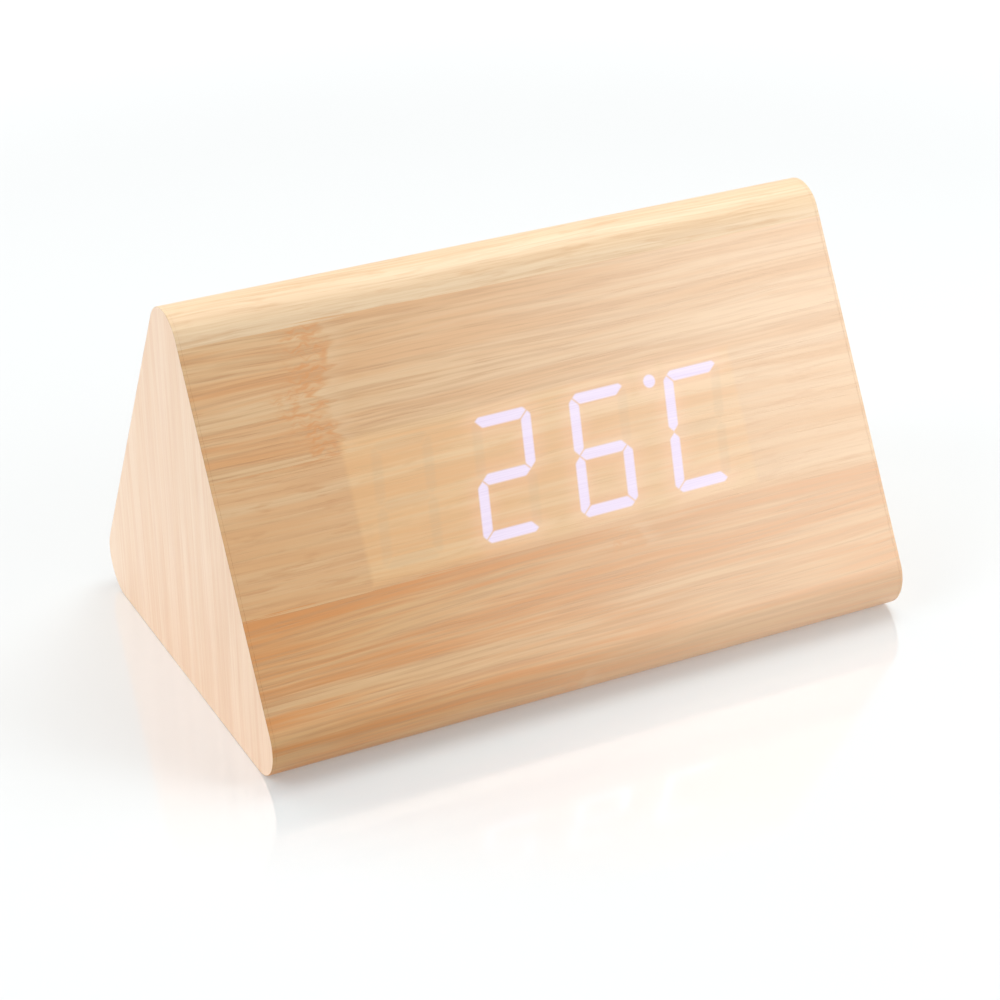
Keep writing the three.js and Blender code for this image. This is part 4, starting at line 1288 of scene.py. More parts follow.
class Shape:
    """Collects the faces of one piece and makes its object."""

    weld = 0.002 * MM
    flat_angle = math.radians(0.5)
    sharp_angle = math.radians(40.0)
    ease_steps = 2
    ease_profile = 0.5

    def __init__(self) -> None:
        """Starts with no faces. New faces get the first of the piece's finishes."""
        self.mesh = bmesh.new()
        self.mesh.loops.layers.uv.new(SHEET_MAP)
        self.coat = 0

    def ring(self, points: Iterable[Vector]) -> list[Vertex]:
        """Adds points, and returns their vertices."""
        return [self.mesh.verts.new(point) for point in points]

    def skin(self, rings: Sequence[Sequence[Vertex]]) -> None:
        """Joins neighbouring rings by faces.

        Args:
            rings: rings of as many vertices each.
        """
        for first, second in zip(rings, rings[1:]):
            count = len(first)
            for index in range(count):
                after = (index + 1) % count
                self.cap((first[index], first[after], second[after], second[index]))

    def cap(self, ring: Sequence[Vertex]) -> None:
        """Closes a ring by one face."""
        self.mesh.faces.new(ring).material_index = self.coat

    def close(self, rings: Sequence[Sequence[Vertex]]) -> None:
        """Joins neighbouring rings by faces, and closes the first and the last.

        Args:
            rings: rings of as many vertices each.
        """
        self.skin(rings)
        self.cap(rings[0][::-1])
        self.cap(rings[-1])

    def turned(self, profile: Profile, sides: int, place: Matrix) -> None:
        """Turns a profile about an axis.

        Args:
            profile: radius and height of each point; it starts and ends on the axis, or closes on itself.
            sides: how many sides the round has.
            place: the frame whose Z is the axis.
        """
        hollow = profile[0][0] > 0.0
        rings = []
        for radius, height in profile:
            if radius == 0.0:
                continue
            angles = (2 * math.pi * side / sides for side in range(sides))
            rings.append(self.ring(
                place @ Vector((radius * math.cos(angle), radius * math.sin(angle), height))
                for angle in angles
            ))
        if hollow:
            self.skin([*rings, rings[0]])
        else:
            self.close(rings)

    def prism(self, outline: Sequence[tuple[float, float]], low: float, high: float, place: Matrix) -> None:
        """Pulls an outline, as X and Y in the frame, up into a prism between two heights."""
        rings = [self.ring(place @ Vector((x, y, level)) for x, y in outline) for level in (low, high)]
        self.close(rings)

    def wire(self, path: Sequence[Vector], radius: float, sides: int) -> None:
        """Draws a round wire along a path.

        Args:
            path: the middle of the wire.
            radius: of the wire.
            sides: how many sides the round has.
        """
        rings = []
        across = (path[1] - path[0]).orthogonal().normalized()
        for index, point in enumerate(path):
            ahead = path[min(index + 1, len(path) - 1)]
            behind = path[max(index - 1, 0)]
            along = (ahead - behind).normalized()
            across = (across - along * across.dot(along)).normalized()
            up = along.cross(across)
            angles = (2 * math.pi * side / sides for side in range(sides))
            rings.append(self.ring(
                point + (across * math.cos(angle) + up * math.sin(angle)) * radius for angle in angles
            ))
        self.close(rings)

    def take(self, node: str) -> None:
        """Takes in the faces of one of the part's solids, with its flat faces whole.

        Args:
            node: the solid's name.
        """
        self.mesh.from_mesh(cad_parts[node].data)
        bmesh.ops.remove_doubles(self.mesh, verts=self.mesh.verts, dist=self.weld)
        bmesh.ops.dissolve_limit(
            self.mesh, angle_limit=self.flat_angle, verts=self.mesh.verts, edges=self.mesh.edges,
        )

    def ease(self, width: float) -> None:
        """Rounds the sharp edges.

        Args:
            width: how far the rounding reaches from an edge.
        """
        sharp = [edge for edge in self.mesh.edges if edge.calc_face_angle(0.0) > self.sharp_angle]
        bmesh.ops.bevel(
            self.mesh, geom=sharp, offset=width, offset_type="OFFSET", segments=self.ease_steps,
            profile=self.ease_profile, affect="EDGES", clamp_overlap=True,
        )

    def map_by(self, rule: Callable[[Vertex], tuple[float, float]]) -> None:
        """Lays the map that the finishes read over all faces.

        Args:
            rule: gives the place on the map for a vertex, in millimetres.
        """
        layer = self.mesh.loops.layers.uv[SHEET_MAP]
        for face in self.mesh.faces:
            for loop in face.loops:
                loop[layer].uv = rule(loop.vert)

    def object(self, name: str, *finishes: Finish) -> Object:
        """Makes the object.

        Args:
            name: the piece's name.
            finishes: its finishes, of which most pieces have one.

        Returns:
            The new object.
        """
        bmesh.ops.recalc_face_normals(self.mesh, faces=self.mesh.faces)
        data = bpy.data.meshes.new(name)
        self.mesh.to_mesh(data)
        self.mesh.free()
        for finish in finishes:
            data.materials.append(finish.material())
        made = bpy.data.objects.new(name, data)
        bpy.context.scene.collection.objects.link(made)
        settle(made)
        return made


def settle(piece: Object) -> None:
    """Smooths a piece over its rounds, with its flat faces flat and its sharp edges sharp.

    Args:
        piece: the piece.
    """
    old_normals = piece.data.attributes.get("custom_normal")
    if old_normals:
        piece.data.attributes.remove(old_normals)
    piece.data.shade_smooth()
    piece.data.set_sharp_from_angle(angle=SMOOTH_ANGLE)
    flat_faces = piece.modifiers.new("flat_faces", "WEIGHTED_NORMAL")
    flat_faces.keep_sharp = True
    flat_faces.weight = FLAT_WEIGHT


def rounded(points: Sequence[tuple[float, float, float]], steps: int = 6) -> Profile:
    """Rounds the corners of a profile.

    Args:
        points: radius, height and corner rounding of each point.
        steps: steps round each corner.

    Returns:
        The rounded profile.
    """
    smooth: Profile = []
    for index, (radius, height, rounding) in enumerate(points):
        here = Vector((radius, height))
        if rounding == 0.0 or index in (0, len(points) - 1):
            smooth.append((radius, height))
            continue
        before = (Vector(points[index - 1][:2]) - here).normalized()
        after = (Vector(points[index + 1][:2]) - here).normalized()
        half = before.angle(after) / 2
        reach = rounding / math.tan(half)
        centre = here + (before + after).normalized() * (rounding / math.sin(half))
        start = here + before * reach - centre
        end = here + after * reach - centre
        for step in range(steps + 1):
            turned = start.slerp(end, step / steps) * rounding + centre
            smooth.append((turned.x, turned.y))
    return smooth


class Cut(str, Enum):
    """How one object changes another."""

    AWAY = "DIFFERENCE"
    JOIN = "UNION"


def combine(target: Object, tool: Object, way: Cut) -> None:
    """Cuts one object out of another, or joins them, and removes the tool.

    Args:
        target: the object that changes.
        tool: the object that changes it.
        way: whether it cuts or joins.
    """
    modifier = target.modifiers.new("combine", "BOOLEAN")
    modifier.operation = way.value
    modifier.solver = "EXACT"
    modifier.object = tool
    graph = bpy.context.evaluated_depsgraph_get()
    changed = target.evaluated_get(graph)
    data = bpy.data.meshes.new_from_object(changed, preserve_all_data_layers=True, depsgraph=graph)
    target.modifiers.clear()
    target.data = data
    data.name = target.name
    settle(target)
    bpy.data.objects.remove(tool)


@dataclass
class SubAssembly(ABC):
    """One sub-assembly of the clock, with the pieces that it has built and dressed."""

    pieces: list[str] = field(default_factory=list, init=False)

    @abstractmethod
    def build(self) -> None:
        """Builds and dresses the sub-assembly's pieces."""

    def keep(self, piece: Object, body: str, finish: Finish, *nodes: str) -> None:
        """Puts a piece in its place in the part.

        Args:
            piece: the piece.
            body: the body that carries it.
            finish: not used.
            nodes: the solids that it stands for.
        """
        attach(piece, body)
        if nodes:
            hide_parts(*nodes)
        self.pieces.append(piece.name)

    def soften(self, node: str, body: str, finish: Finish, width: float) -> None:
        """Puts a copy of a solid with rounded edges in its place.

        Args:
            node: the solid's name.
            body: the body that carries it.
            finish: its finish.
            width: how far the rounding reaches from an edge.
        """
        shape = Shape()
        shape.take(node)
        shape.ease(width)
        shape.map_by(lambda vertex: (vertex.co.x / MM, vertex.co.y / MM))
        self.keep(shape.object(f"{node}_eased", finish), body, finish, node)

    def dress(self, finish: Finish, *nodes: str) -> None:
        """Gives solids that stay as they are a finish.

        Args:
            finish: the finish.
            nodes: the solids' names.
        """
        for name in nodes:
            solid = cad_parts[name]
            solid.data.materials.clear()
            solid.data.materials.append(finish.material())
            self.pieces.append(name)


class ButtonMark(Enum):
    """The raised mark on a button."""

    RING = "ring"
    UP = "up"
    DOWN = "down"


@dataclass(frozen=True)
class RearRow:
    """The row of controls in the rear face.

    Attributes, where the name alone doesn't say it:
        rise: how far up the face the row lies.
        buttons: each button's name, its place along X and its mark.
        inlet, vents: their places along X.
        gap: round a button or the inlet.
    """

    rise: float = 40 * MM
    buttons: tuple[tuple[str, float, ButtonMark], ...] = (
        ("set_button", 12 * MM, ButtonMark.RING),
        ("up_button", 0.0, ButtonMark.UP),
        ("down_button", -12 * MM, ButtonMark.DOWN),
    )
    button_radius: float = 3 * MM
    inlet: float = -28.45 * MM
    inlet_radius: float = 3.2 * MM
    vents: tuple[float, ...] = (25.1 * MM, 28.1 * MM, 31.1 * MM)
    vent_radius: float = 0.9 * MM
    gap: float = 0.3 * MM

    def holes(self) -> list[tuple[float, float]]:
        """Lists the holes.

        Returns:
            The place along X and the radius of each hole.
        """
        round_buttons = [(place, self.button_radius + self.gap) for _, place, _ in self.buttons]
        round_vents = [(place, self.vent_radius) for place in self.vents]
        return round_buttons + round_vents + [(self.inlet, self.inlet_radius + self.gap)]


@dataclass
class CaseShell(SubAssembly):
    """The veneered boards of the case.

    Attributes, where the name alone doesn't say it:
        veneer: the thickness of the veneer.
        seam: between the bent sheet and the ends.
        sheet_edge: the rounding of the bent sheet's ends.
        soft_edge: the rounding of the end and base veneers.
        edge_steps: steps round a soft edge.
    """

    section: CaseSection = CaseSection()
    row: RearRow = RearRow()
    veneer: float = 0.6 * MM
    seam: float = 0.01 * MM
    sheet_edge: float = 0.05 * MM
    soft_edge: float = 0.12 * MM
    edge_steps: int = 4
    hole_bevel: float = 0.2 * MM
    hole_sides: int = 48

    def build(self) -> None:
        """Builds the veneers and dresses the boards."""
        self.bend_wrap()
        for node, side in (("left_end_veneer", -1.0), ("right_end_veneer", 1.0)):
            self.cut_end(node, side)
        self.soften("base_veneer", "case", BASE_VENEER, self.soft_edge)
        boards = (f"{side}_board" for side in ("front", "rear", "base", "left_end", "right_end"))
        self.dress(FIBREBOARD, *boards)

    def eased(self, end: float, inward: float, width: float) -> list[tuple[float, float]]:
        """Rounds the outer edge at one end of a sheet.

        Args:
            end: where the sheet ends, along X.
            inward: -1 or 1, the way from the end into the sheet.
            width: how far the rounding reaches.

        Returns:
            Place along X and inset of each step, from the sheet to its end.
        """
        steps = []
        for step in range(self.edge_steps + 1):
            angle = math.pi / 2 * step / self.edge_steps
            along = end + inward * width * (1 - math.sin(angle))
            steps.append((along, width * (1 - math.cos(angle))))
        return steps

    def bend_wrap(self) -> None:
        """Bends the sheet that covers the front, the ridge and the back, and cuts the holes in its back."""
        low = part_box("left_end_veneer")[1].x + self.seam
        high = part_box("right_end_veneer")[0].x - self.seam
        shape = Shape()
        near_end = self.eased(low, 1.0, self.sheet_edge)
        stations = near_end[::-1] + self.eased(high, -1.0, self.sheet_edge)
        inner = self.section.bent_sheet(self.veneer)
        runs = [point.run for point in self.section.bent_sheet(0.0)]
        count = len(runs)
        run_of: dict[Vertex, float] = {}
        rings = []
        for along, inset in stations:
            line = self.section.bent_sheet(inset) + inner[::-1]
            ring = shape.ring(Vector((along, point.y, point.z)) for point in line)
            run_of.update(zip(ring, runs + runs[::-1]))
            rings.append(ring)
        shape.skin(rings)
        for ring in (rings[0], rings[-1]):
            for index in range(count - 1):
                back = 2 * count - 1 - index
                shape.cap((ring[index], ring[index + 1], ring[back - 1], ring[back]))
        shape.map_by(lambda vertex: (vertex.co.x / MM, run_of[vertex] / MM))
        sheet = shape.object("wrap_sheet", FRONT_VENEER)
        combine(sheet, self.hole_tool(), Cut.AWAY)
        self.keep(sheet, "case", FRONT_VENEER, "wrap_veneer")

    def hole_tool(self) -> Object:
        """Makes the tool that cuts the bevelled holes in the back.

        Returns:
            The tool.
        """
        shape = Shape()
        beyond = 2 * self.veneer
        for along, radius in self.row.holes():
            profile = [
                (0.0, -beyond), (radius, -beyond), (radius, -self.hole_bevel),
                (radius + self.hole_bevel + beyond, beyond), (0.0, beyond),
            ]
            shape.turned(profile, self.hole_sides, self.section.rear_place(along, self.row.rise, 0.0))
        return shape.object("hole_tool", FRONT_VENEER)

    def cut_end(self, node: str, side: float) -> None:
        """Cuts the flush veneer of one end.

        Args:
            node: the solid that it stands for.
            side: -1 for the left end, 1 for the right.
        """
        low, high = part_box(node)
        outside, inside = (low.x, high.x) if side < 0 else (high.x, low.x)
        shape = Shape()
        run_of: dict[Vertex, float] = {}
        rings = []
        for along, inset in [(inside, 0.0)] + self.eased(outside, -side, self.soft_edge):
            outline = self.section.bent_sheet(inset)
            ring = shape.ring(Vector((along, point.y, point.z)) for point in outline)
            run_of.update(zip(ring, (point.run for point in outline)))
            rings.append(ring)
        shape.cap(rings[0])
        shape.cap(rings[-1])
        shape.coat = 1
        shape.skin(rings)
        shape.map_by(lambda vertex: (vertex.co.x / MM, run_of[vertex] / MM))
        self.keep(shape.object(f"{node}_sheet", END_VENEER, FRONT_VENEER), "case", END_VENEER, node)


@dataclass
class Controls(SubAssembly):
    """The buttons, the inlet and the board behind the rear face.

    Depths are heights over the rear face, so what lies inside it is below 0.

    Attributes, where the name alone doesn't say it:
        flange_back, flange_front: the depths of the flange that keeps a button in.
        proud: how far a button stands out.
        edge: the rounding of a button's rim.
        dish: how deep a button's top is dished.
        dish_shares: where the dish starts and where it is flat, over the button's radius.
        mark_width: the width of the lines of a mark.
        mark_reach: the size of a mark from its middle.
        mark_rise: the height of a mark, over the depth of the dish.
        ring_share, arrow_share: the radius of the ring and half the height of an arrow, over that reach.
        ring_taper: the width of the ring's line at its top, over its foot.
        mouth: the depth of the inlet's rim.
        inlet_shoulder, inlet_side: the front and the side of the inlet's square body.
        pin_round: the rounding of the pin's tip, over its radius.
    """

    section: CaseSection = CaseSection()
    row: RearRow = RearRow()
    flange_radius: float = 4 * MM
    flange_back: float = -8 * MM
    flange_front: float = -7 * MM
    proud: float = 1 * MM
    edge: float = 0.5 * MM
    dish: float = 0.3 * MM
    dish_shares: Span = (0.72, 0.45)
    mark_width: float = 0.42 * MM
    mark_reach: float = 1.15 * MM
    mark_rise: float = 0.8
    ring_share: float = 0.8
    ring_taper: float = 0.7
    arrow_share: float = 0.6
    mouth: float = -0.4 * MM
    bore_radius: float = 1.85 * MM
    bore_floor: float = -9.4 * MM
    inlet_back: float = -13.2 * MM
    inlet_shoulder: float = -8.7 * MM
    inlet_side: float = 8.5 * MM
    pin_radius: float = 0.65 * MM
    pin_back: float = -10.6 * MM
    pin_tip: float = -1.6 * MM
    pin_round: float = 0.8
    sides: int = 56

    def build(self) -> None:
        """Builds what shows in the back and dresses what lies behind it."""
        for node, along, mark in self.row.buttons:
            self.mould_button(node, along, mark)
        self.mould_inlet()
        self.turn_pin()
        names = ("set", "up", "down")
        self.dress(WHITE_PLASTIC, *(f"{name}_plunger" for name in names), "ribbon_socket")
        self.dress(WHITE_PLASTIC, "control_spacer_1", "control_spacer_2")
        self.dress(TIN, *(f"{name}_switch" for name in names), "control_screw_1", "control_screw_2")
        self.dress(CIRCUIT_GREEN, "control_board")
        self.dress(SENSOR_RESIN, "temperature_sensor")

    def mould_button(self, node: str, along: float, mark: ButtonMark) -> None:
        """Moulds one button with its raised mark.

        Args:
            node: the solid that it stands for, and the body that carries it.
            along: its place along X.
            mark: its mark.
        """
        place = self.section.rear_place(along, self.row.rise, 0.0)
        radius = self.row.button_radius
        shape = Shape()
        small = self.edge / 4
        hollow = self.proud - self.dish
        start, flat = (radius * share for share in self.dish_shares)
        profile = rounded([
            (0.0, self.flange_back, 0.0),
            (self.flange_radius, self.flange_back, small),
            (self.flange_radius, self.flange_front, small),
            (radius, self.flange_front, small),
            (radius, self.proud, self.edge),
            (start, self.proud, self.edge),
            (flat, hollow, self.edge),
            (0.0, hollow, 0.0),
        ])
        shape.turned(profile, self.sides, place)
        self.raise_mark(shape, mark, hollow, place)
        self.keep(shape.object(f"{node}_cap", BLACK_PLASTIC), node, BLACK_PLASTIC, node)

    def raise_mark(self, shape: Shape, mark: ButtonMark, level: float, place: Matrix) -> None:
        """Raises a mark on a button's top.

        Args:
            shape: the button.
            mark: its mark.
            level: the height of the dished top.
            place: the button's frame.
        """
        foot, head = level - self.mark_width / 4, level + self.dish * self.mark_rise
        half, reach = self.mark_width / 2, self.mark_reach
        if mark is ButtonMark.RING:
            middle, narrow = reach * self.ring_share, half * self.ring_taper
            shape.turned([
                (middle - half, foot), (middle + half, foot),
                (middle + narrow, head), (middle - narrow, head),
            ], self.sides, place)
            return
        way = 1.0 if mark is ButtonMark.UP else -1.0
        tip = reach * self.arrow_share
        outline = [
            (-reach, -tip - half), (0.0, tip - half), (reach, -tip - half),
            (reach, -tip + half), (0.0, tip + half), (-reach, -tip + half),
        ]
        shape.prism([(x, way * y) for x, y in outline], foot, head, place)

    def mould_inlet(self) -> None:
        """Moulds the round nose of the inlet, with its bore, on its square body."""
        place = self.section.rear_place(self.row.inlet, self.row.rise, 0.0)
        radius = self.row.inlet_radius
        chamfer = self.edge
        nose = Shape()
        nose.turned(rounded([
            (0.0, self.bore_floor, 0.0),
            (self.bore_radius, self.bore_floor, 0.0),
            (self.bore_radius, self.mouth - chamfer, 0.0),
            (self.bore_radius + chamfer, self.mouth, chamfer / 4),
            (radius, self.mouth, chamfer / 2),
            (radius, self.inlet_back, 0.0),
            (0.0, self.inlet_back, 0.0),
        ]), self.sides, place)
        body = Shape()
        half = self.inlet_side / 2
        corners = [(-half, -half), (half, -half), (half, half), (-half, half)]
        body.prism(corners, self.inlet_back, self.inlet_shoulder, place)
        body.ease(chamfer / 2)
        inlet = nose.object("inlet_body", BLACK_PLASTIC)
        block = body.object("inlet_block", BLACK_PLASTIC)
        bore = Shape()
        radius, floor = self.bore_radius, self.bore_floor
        bore.turned([(0.0, floor), (radius, floor), (radius, 0.0), (0.0, 0.0)], self.sides, place)
        combine(block, bore.object("inlet_bore", BLACK_PLASTIC), Cut.AWAY)
        combine(inlet, block, Cut.JOIN)
        self.keep(inlet, "case", BLACK_PLASTIC, "power_inlet")

    def turn_pin(self) -> None:
        """Turns the inlet's pin, with its rounded tip."""
        place = self.section.rear_place(self.row.inlet, self.row.rise, 0.0)
        shape = Shape()
        shape.turned(rounded([
            (0.0, self.pin_back, 0.0),
            (self.pin_radius, self.pin_back, 0.0),
            (self.pin_radius, self.pin_tip, self.pin_radius * self.pin_round),
            (0.0, self.pin_tip, 0.0),
        ]), self.sides, place)
        self.keep(shape.object("inlet_pin_turned", NICKEL), "case", NICKEL, "inlet_pin")


class CellEnd(Enum):
    """The end of the bay that a cell's nub points to."""

    RIGHT = 1.0
    LEFT = -1.0


@dataclass(frozen=True)
class ContactPlan:
    """One contact: its solid, its end of the bay, its cells by place, those on a spring, and its tab."""

    node: str
    end: CellEnd
    places: tuple[float, ...]
    sprung: tuple[float, ...]
    tabbed: bool


@dataclass
class BatteryBay(SubAssembly):
    """The tray in the base with its cells, contacts, screws and door.

    Attributes, where the name alone doesn't say it:
        cell_height: of the cells' middles over the table.
        cell_length: of a cell, with its nub.
        flat_shares: where the rim of the flat end starts and is full, over the cell's radius.
        groove_shares: where the groove round the nub starts and is full, over the nub's radius.
        contact_place: of the contacts, from the middle of the bay.
        contact_width: of a contact for one cell.
        contact_corner: what is cut off its corners.
        touch: between a cell and a contact.
        dome_foot, dome_top: the radii of the dome that a nub rests on.
        dome_rise: its height, over the touch.
        tab_top: the height of a tab's end over the table.
        spring_wire: the radius of a spring's wire.
        spring_base, spring_tip: the radii of a spring.
        head_dome: where a screw's dome starts, over its radius, and ends, over its height.
        head_rounds: the roundings at these two places.
        cross_reach, cross_width: half the length and width of its cross, over its radius.
        cross_floor: the length of the cross at its floor, over its length.
        door_face: the height of the door's outer face over the table.
        grip_taper: the width of the door's thumb ridges at the top, over their foot.
        grip_start: where along X the first ridge lies.
    """

    cell_pitch: float = 11.8 * MM
    cell_height: float = 7.65 * MM
    cell_radius: float = 5.25 * MM
    cell_length: float = 44.5 * MM
    cell_rim: float = 0.4 * MM
    flat_shares: Span = (0.74, 0.80)
    nub_radius: float = 1.9 * MM
    nub_length: float = 0.8 * MM
    groove_shares: Span = (1.6, 1.4)
    contact_place: float = 24.75 * MM
    contact_thickness: float = 0.4 * MM
    contact_width: float = 8 * MM
    contact_height: float = 7 * MM
    contact_corner: float = 0.9 * MM
    contact_edge: float = 0.06 * MM
    touch: float = 0.3 * MM
    dome_foot: float = 1.9 * MM
    dome_top: float = 1.2 * MM
    dome_round: float = 0.3 * MM
    dome_rise: float = 0.8
    tab_width: float = 3 * MM
    tab_top: float = 17.8 * MM
    spring_length: float = 4 * MM
    spring_wire: float = 0.3 * MM
    spring_base: float = 3 * MM
    spring_tip: float = 2 * MM
    spring_turns: int = 3
    spring_steps: int = 28
    spring_sides: int = 12
    head_radius: float = 1.9 * MM
    head_height: float = 1.2 * MM
    head_dome: Span = (0.55, 0.45)
    head_rounds: Span = (0.5 * MM, 0.35 * MM)
    shank_radius: float = 1 * MM
    cross_reach: float = 0.62
    cross_width: float = 0.13
    cross_floor: float = 0.5
    cross_depth: float = 0.7 * MM
    tray_edge: float = 0.18 * MM
    door_edge: float = 0.15 * MM
    door_face: float = 0.4 * MM
    grip_count: int = 7
    grip_pitch: float = 1.5 * MM
    grip_width: float = 0.7 * MM
    grip_taper: float = 0.5
    grip_height: float = 0.28 * MM
    grip_half: float = 8 * MM
    grip_start: float = 13.5 * MM
    sides: int = 56

    def build(self) -> None:
        """Builds the bay from the cells out to the door."""
        pitch = self.cell_pitch
        cells = ((-pitch, CellEnd.RIGHT), (0.0, CellEnd.LEFT), (pitch, CellEnd.RIGHT))
        for number, (place, end) in enumerate(cells, start=1):
            self.roll_cell(f"battery_{number}", place, end)
        for plan in (
            ContactPlan("positive_contact", CellEnd.RIGHT, (-pitch,), (), True),
            ContactPlan("negative_contact", CellEnd.LEFT, (pitch,), (pitch,), True),
            ContactPlan("bridge_contact_1", CellEnd.LEFT, (-pitch, 0.0), (-pitch,), False),
            ContactPlan("bridge_contact_2", CellEnd.RIGHT, (0.0, pitch), (0.0,), False),
        ):
            self.press_contact(plan)
        for number in range(1, 5):
            self.turn_screw(f"tray_screw_{number}")
        self.soften("battery_tray", "case", BLACK_PLASTIC, self.tray_edge)
        self.mould_door()

    def roll_cell(self, node: str, place: float, end: CellEnd) -> None:
        """Rolls one cell.

        Args:
            node: the solid that it stands for.
            place: its place along Y.
            end: where its nub points.
        """
        reach = self.contact_place - self.contact_thickness / 2 - self.touch
        flat_end = end.value * (reach - self.cell_length)
        frame_of = Matrix.Translation((flat_end, place, self.cell_height))
        frame_of = frame_of @ Matrix.Rotation(end.value * math.pi / 2, 4, "Y")
        rim = self.cell_rim
        rim_start, rim_full = (self.cell_radius * share for share in self.flat_shares)
        groove_start, groove_full = (self.nub_radius * share for share in self.groove_shares)
        shoulder = self.cell_length - self.nub_length
        shape = Shape()
        shape.turned(rounded([
            (0.0, rim / 2, 0.0),
            (rim_start, rim / 2, rim / 2),
            (rim_full, 0.0, rim / 4),
            (self.cell_radius, 0.0, rim),
            (self.cell_radius, shoulder, rim),
            (groove_start, shoulder, rim / 4),
            (groove_full, shoulder - rim / 2, rim / 4),
            (self.nub_radius, shoulder - rim / 2, rim / 4),
            (self.nub_radius, self.cell_length, rim),
            (0.0, self.cell_length, 0.0),
        ]), self.sides, frame_of)
        back = frame_of.inverted()

        def unrolled(vertex: Vertex) -> tuple[float, float]:
            """Returns how far along the cell and how far from its middle line a vertex lies."""
            local = back @ vertex.co
            return local.z / MM, math.hypot(local.x, local.y) / MM

        shape.map_by(unrolled)
        self.keep(shape.object(f"{node}_cell", CELL_SLEEVE), "case", CELL_SLEEVE, node)

    def press_contact(self, plan: ContactPlan) -> None:
        """Presses one contact out of sheet, with its tab and its spring.

        Args:
            plan: which contact.
        """
        side = plan.end.value
        middle = side * self.contact_place
        half = self.contact_thickness / 2
        frame_of = frame_at(Vector((middle, 0.0, self.cell_height)), AXIS_Y, AXIS_Z, AXIS_X)
        inward = Matrix.Rotation(math.pi if side > 0 else 0.0, 4, "X")
        top = half + self.touch * self.dome_rise
        dome = rounded([
            (0.0, 0.0, 0.0), (self.dome_foot, 0.0, 0.0), (self.dome_foot, half, 0.0),
            (self.dome_top, top, self.dome_round), (0.0, top, 0.0),
        ])
        shape = Shape()
        shape.prism(self.plate_outline(plan), -half, half, frame_of)
        shape.ease(self.contact_edge)
        for place in plan.places:
            if place in plan.sprung:
                shape.wire(self.coil(side, place), self.spring_wire, self.spring_sides)
            else:
                shape.turned(dome, self.sides, frame_of @ Matrix.Translation((place, 0.0, 0.0)) @ inward)
        self.keep(shape.object(f"{plan.node}_pressed", NICKEL), "case", NICKEL, plan.node)

    def plate_outline(self, plan: ContactPlan) -> list[tuple[float, float]]:
        """Draws the plate of a contact, with cut corners.

        Args:
            plan: which contact.

        Returns:
            The corners, as Y and height from the cells' middles.
        """
        low = min(plan.places) - self.contact_width / 2
        high = max(plan.places) + self.contact_width / 2
        cut, half = self.contact_corner, self.contact_height / 2
        outline = [
            (low, -half + cut), (low + cut, -half), (high - cut, -half), (high, -half + cut),
            (high, half - cut), (high - cut, half),
        ]
        if plan.tabbed:
            top, middle = self.tab_top - self.cell_height, plan.places[0]
            right, left = middle + self.tab_width / 2, middle - self.tab_width / 2
            outline += [(right, half), (right, top), (left, top), (left, half)]
        return outline + [(low + cut, half), (low, half - cut)]

    def coil(self, side: float, place: float) -> list[Vector]:
        """Follows a contact's spring from its plate to its tip.

        Args:
            side: the end of the bay, -1 or 1.
            place: the cell's place along Y.

        Returns:
            The middle of the wire.
        """
        root = side * (self.contact_place - self.contact_thickness / 2)
        count = self.spring_turns * self.spring_steps
        path = []
        for step in range(count + 1):
            share = step / count
            angle = 2 * math.pi * self.spring_turns * share
            radius = self.spring_base + (self.spring_tip - self.spring_base) * share
            reach = (self.spring_length - self.spring_wire) * share
            path.append(Vector((
                root - side * reach,
                place + radius * math.cos(angle),
                self.cell_height + radius * math.sin(angle),
            )))
        return path

    def turn_screw(self, node: str) -> None:
        """Turns a screw with a domed head and cuts its cross.

        Args:
            node: the solid that it stands for.
        """
        low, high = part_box(node)
        place = Matrix.Translation(((low.x + high.x) / 2, (low.y + high.y) / 2, low.z))
        dome_start, dome_end = self.head_radius * self.head_dome[0], self.head_height * self.head_dome[1]
        top_round, side_round = self.head_rounds
        shape = Shape()
        shape.turned(rounded([
            (0.0, 0.0, 0.0),
            (dome_start, 0.0, top_round),
            (self.head_radius, dome_end, side_round),
            (self.head_radius, self.head_height, 0.0),
            (self.shank_radius, self.head_height, 0.0),
            (self.shank_radius, high.z - low.z - self.shank_radius, 0.0),
            (0.0, high.z - low.z, 0.0),
        ]), self.sides, place)
        made = shape.object(f"{node}_turned", TIN)
        reach, half = self.head_radius * self.cross_reach, self.head_radius * self.cross_width
        floor = reach * self.cross_floor
        wedge = [
            (-reach, self.head_height), (reach, self.head_height),
            (floor, -self.cross_depth), (-floor, -self.cross_depth),
        ]
        for turn in (0.0, math.pi / 2):
            tool = Shape()
            frame_of = place @ Matrix.Rotation(turn, 4, "Z") @ Matrix.Rotation(-math.pi / 2, 4, "X")
            tool.prism(wedge, -half, half, frame_of)
            combine(made, tool.object("cross_tool", TIN), Cut.AWAY)
        self.keep(made, "case", TIN, node)

    def mould_door(self) -> None:
        """Moulds the door, with ridges for a thumb near its free end."""
        shape = Shape()
        shape.take("battery_door")
        shape.ease(self.door_edge)
        half, wide = self.grip_half, self.grip_width / 2
        narrow = wide * self.grip_taper
        foot, top = self.door_face + self.grip_height / 2, self.door_face - self.grip_height
        outline = [(-wide, foot), (wide, foot), (narrow, top), (-narrow, top)]
        for number in range(self.grip_count):
            along = self.grip_start + number * self.grip_pitch
            frame_of = frame_at(Vector((along, 0.0, 0.0)), AXIS_X, AXIS_Z, AXIS_Y)
            shape.prism(outline, -half, half, frame_of)
        door = shape.object("battery_door_moulded", BLACK_PLASTIC)
        self.keep(door, "battery_door", BLACK_PLASTIC, "battery_door")


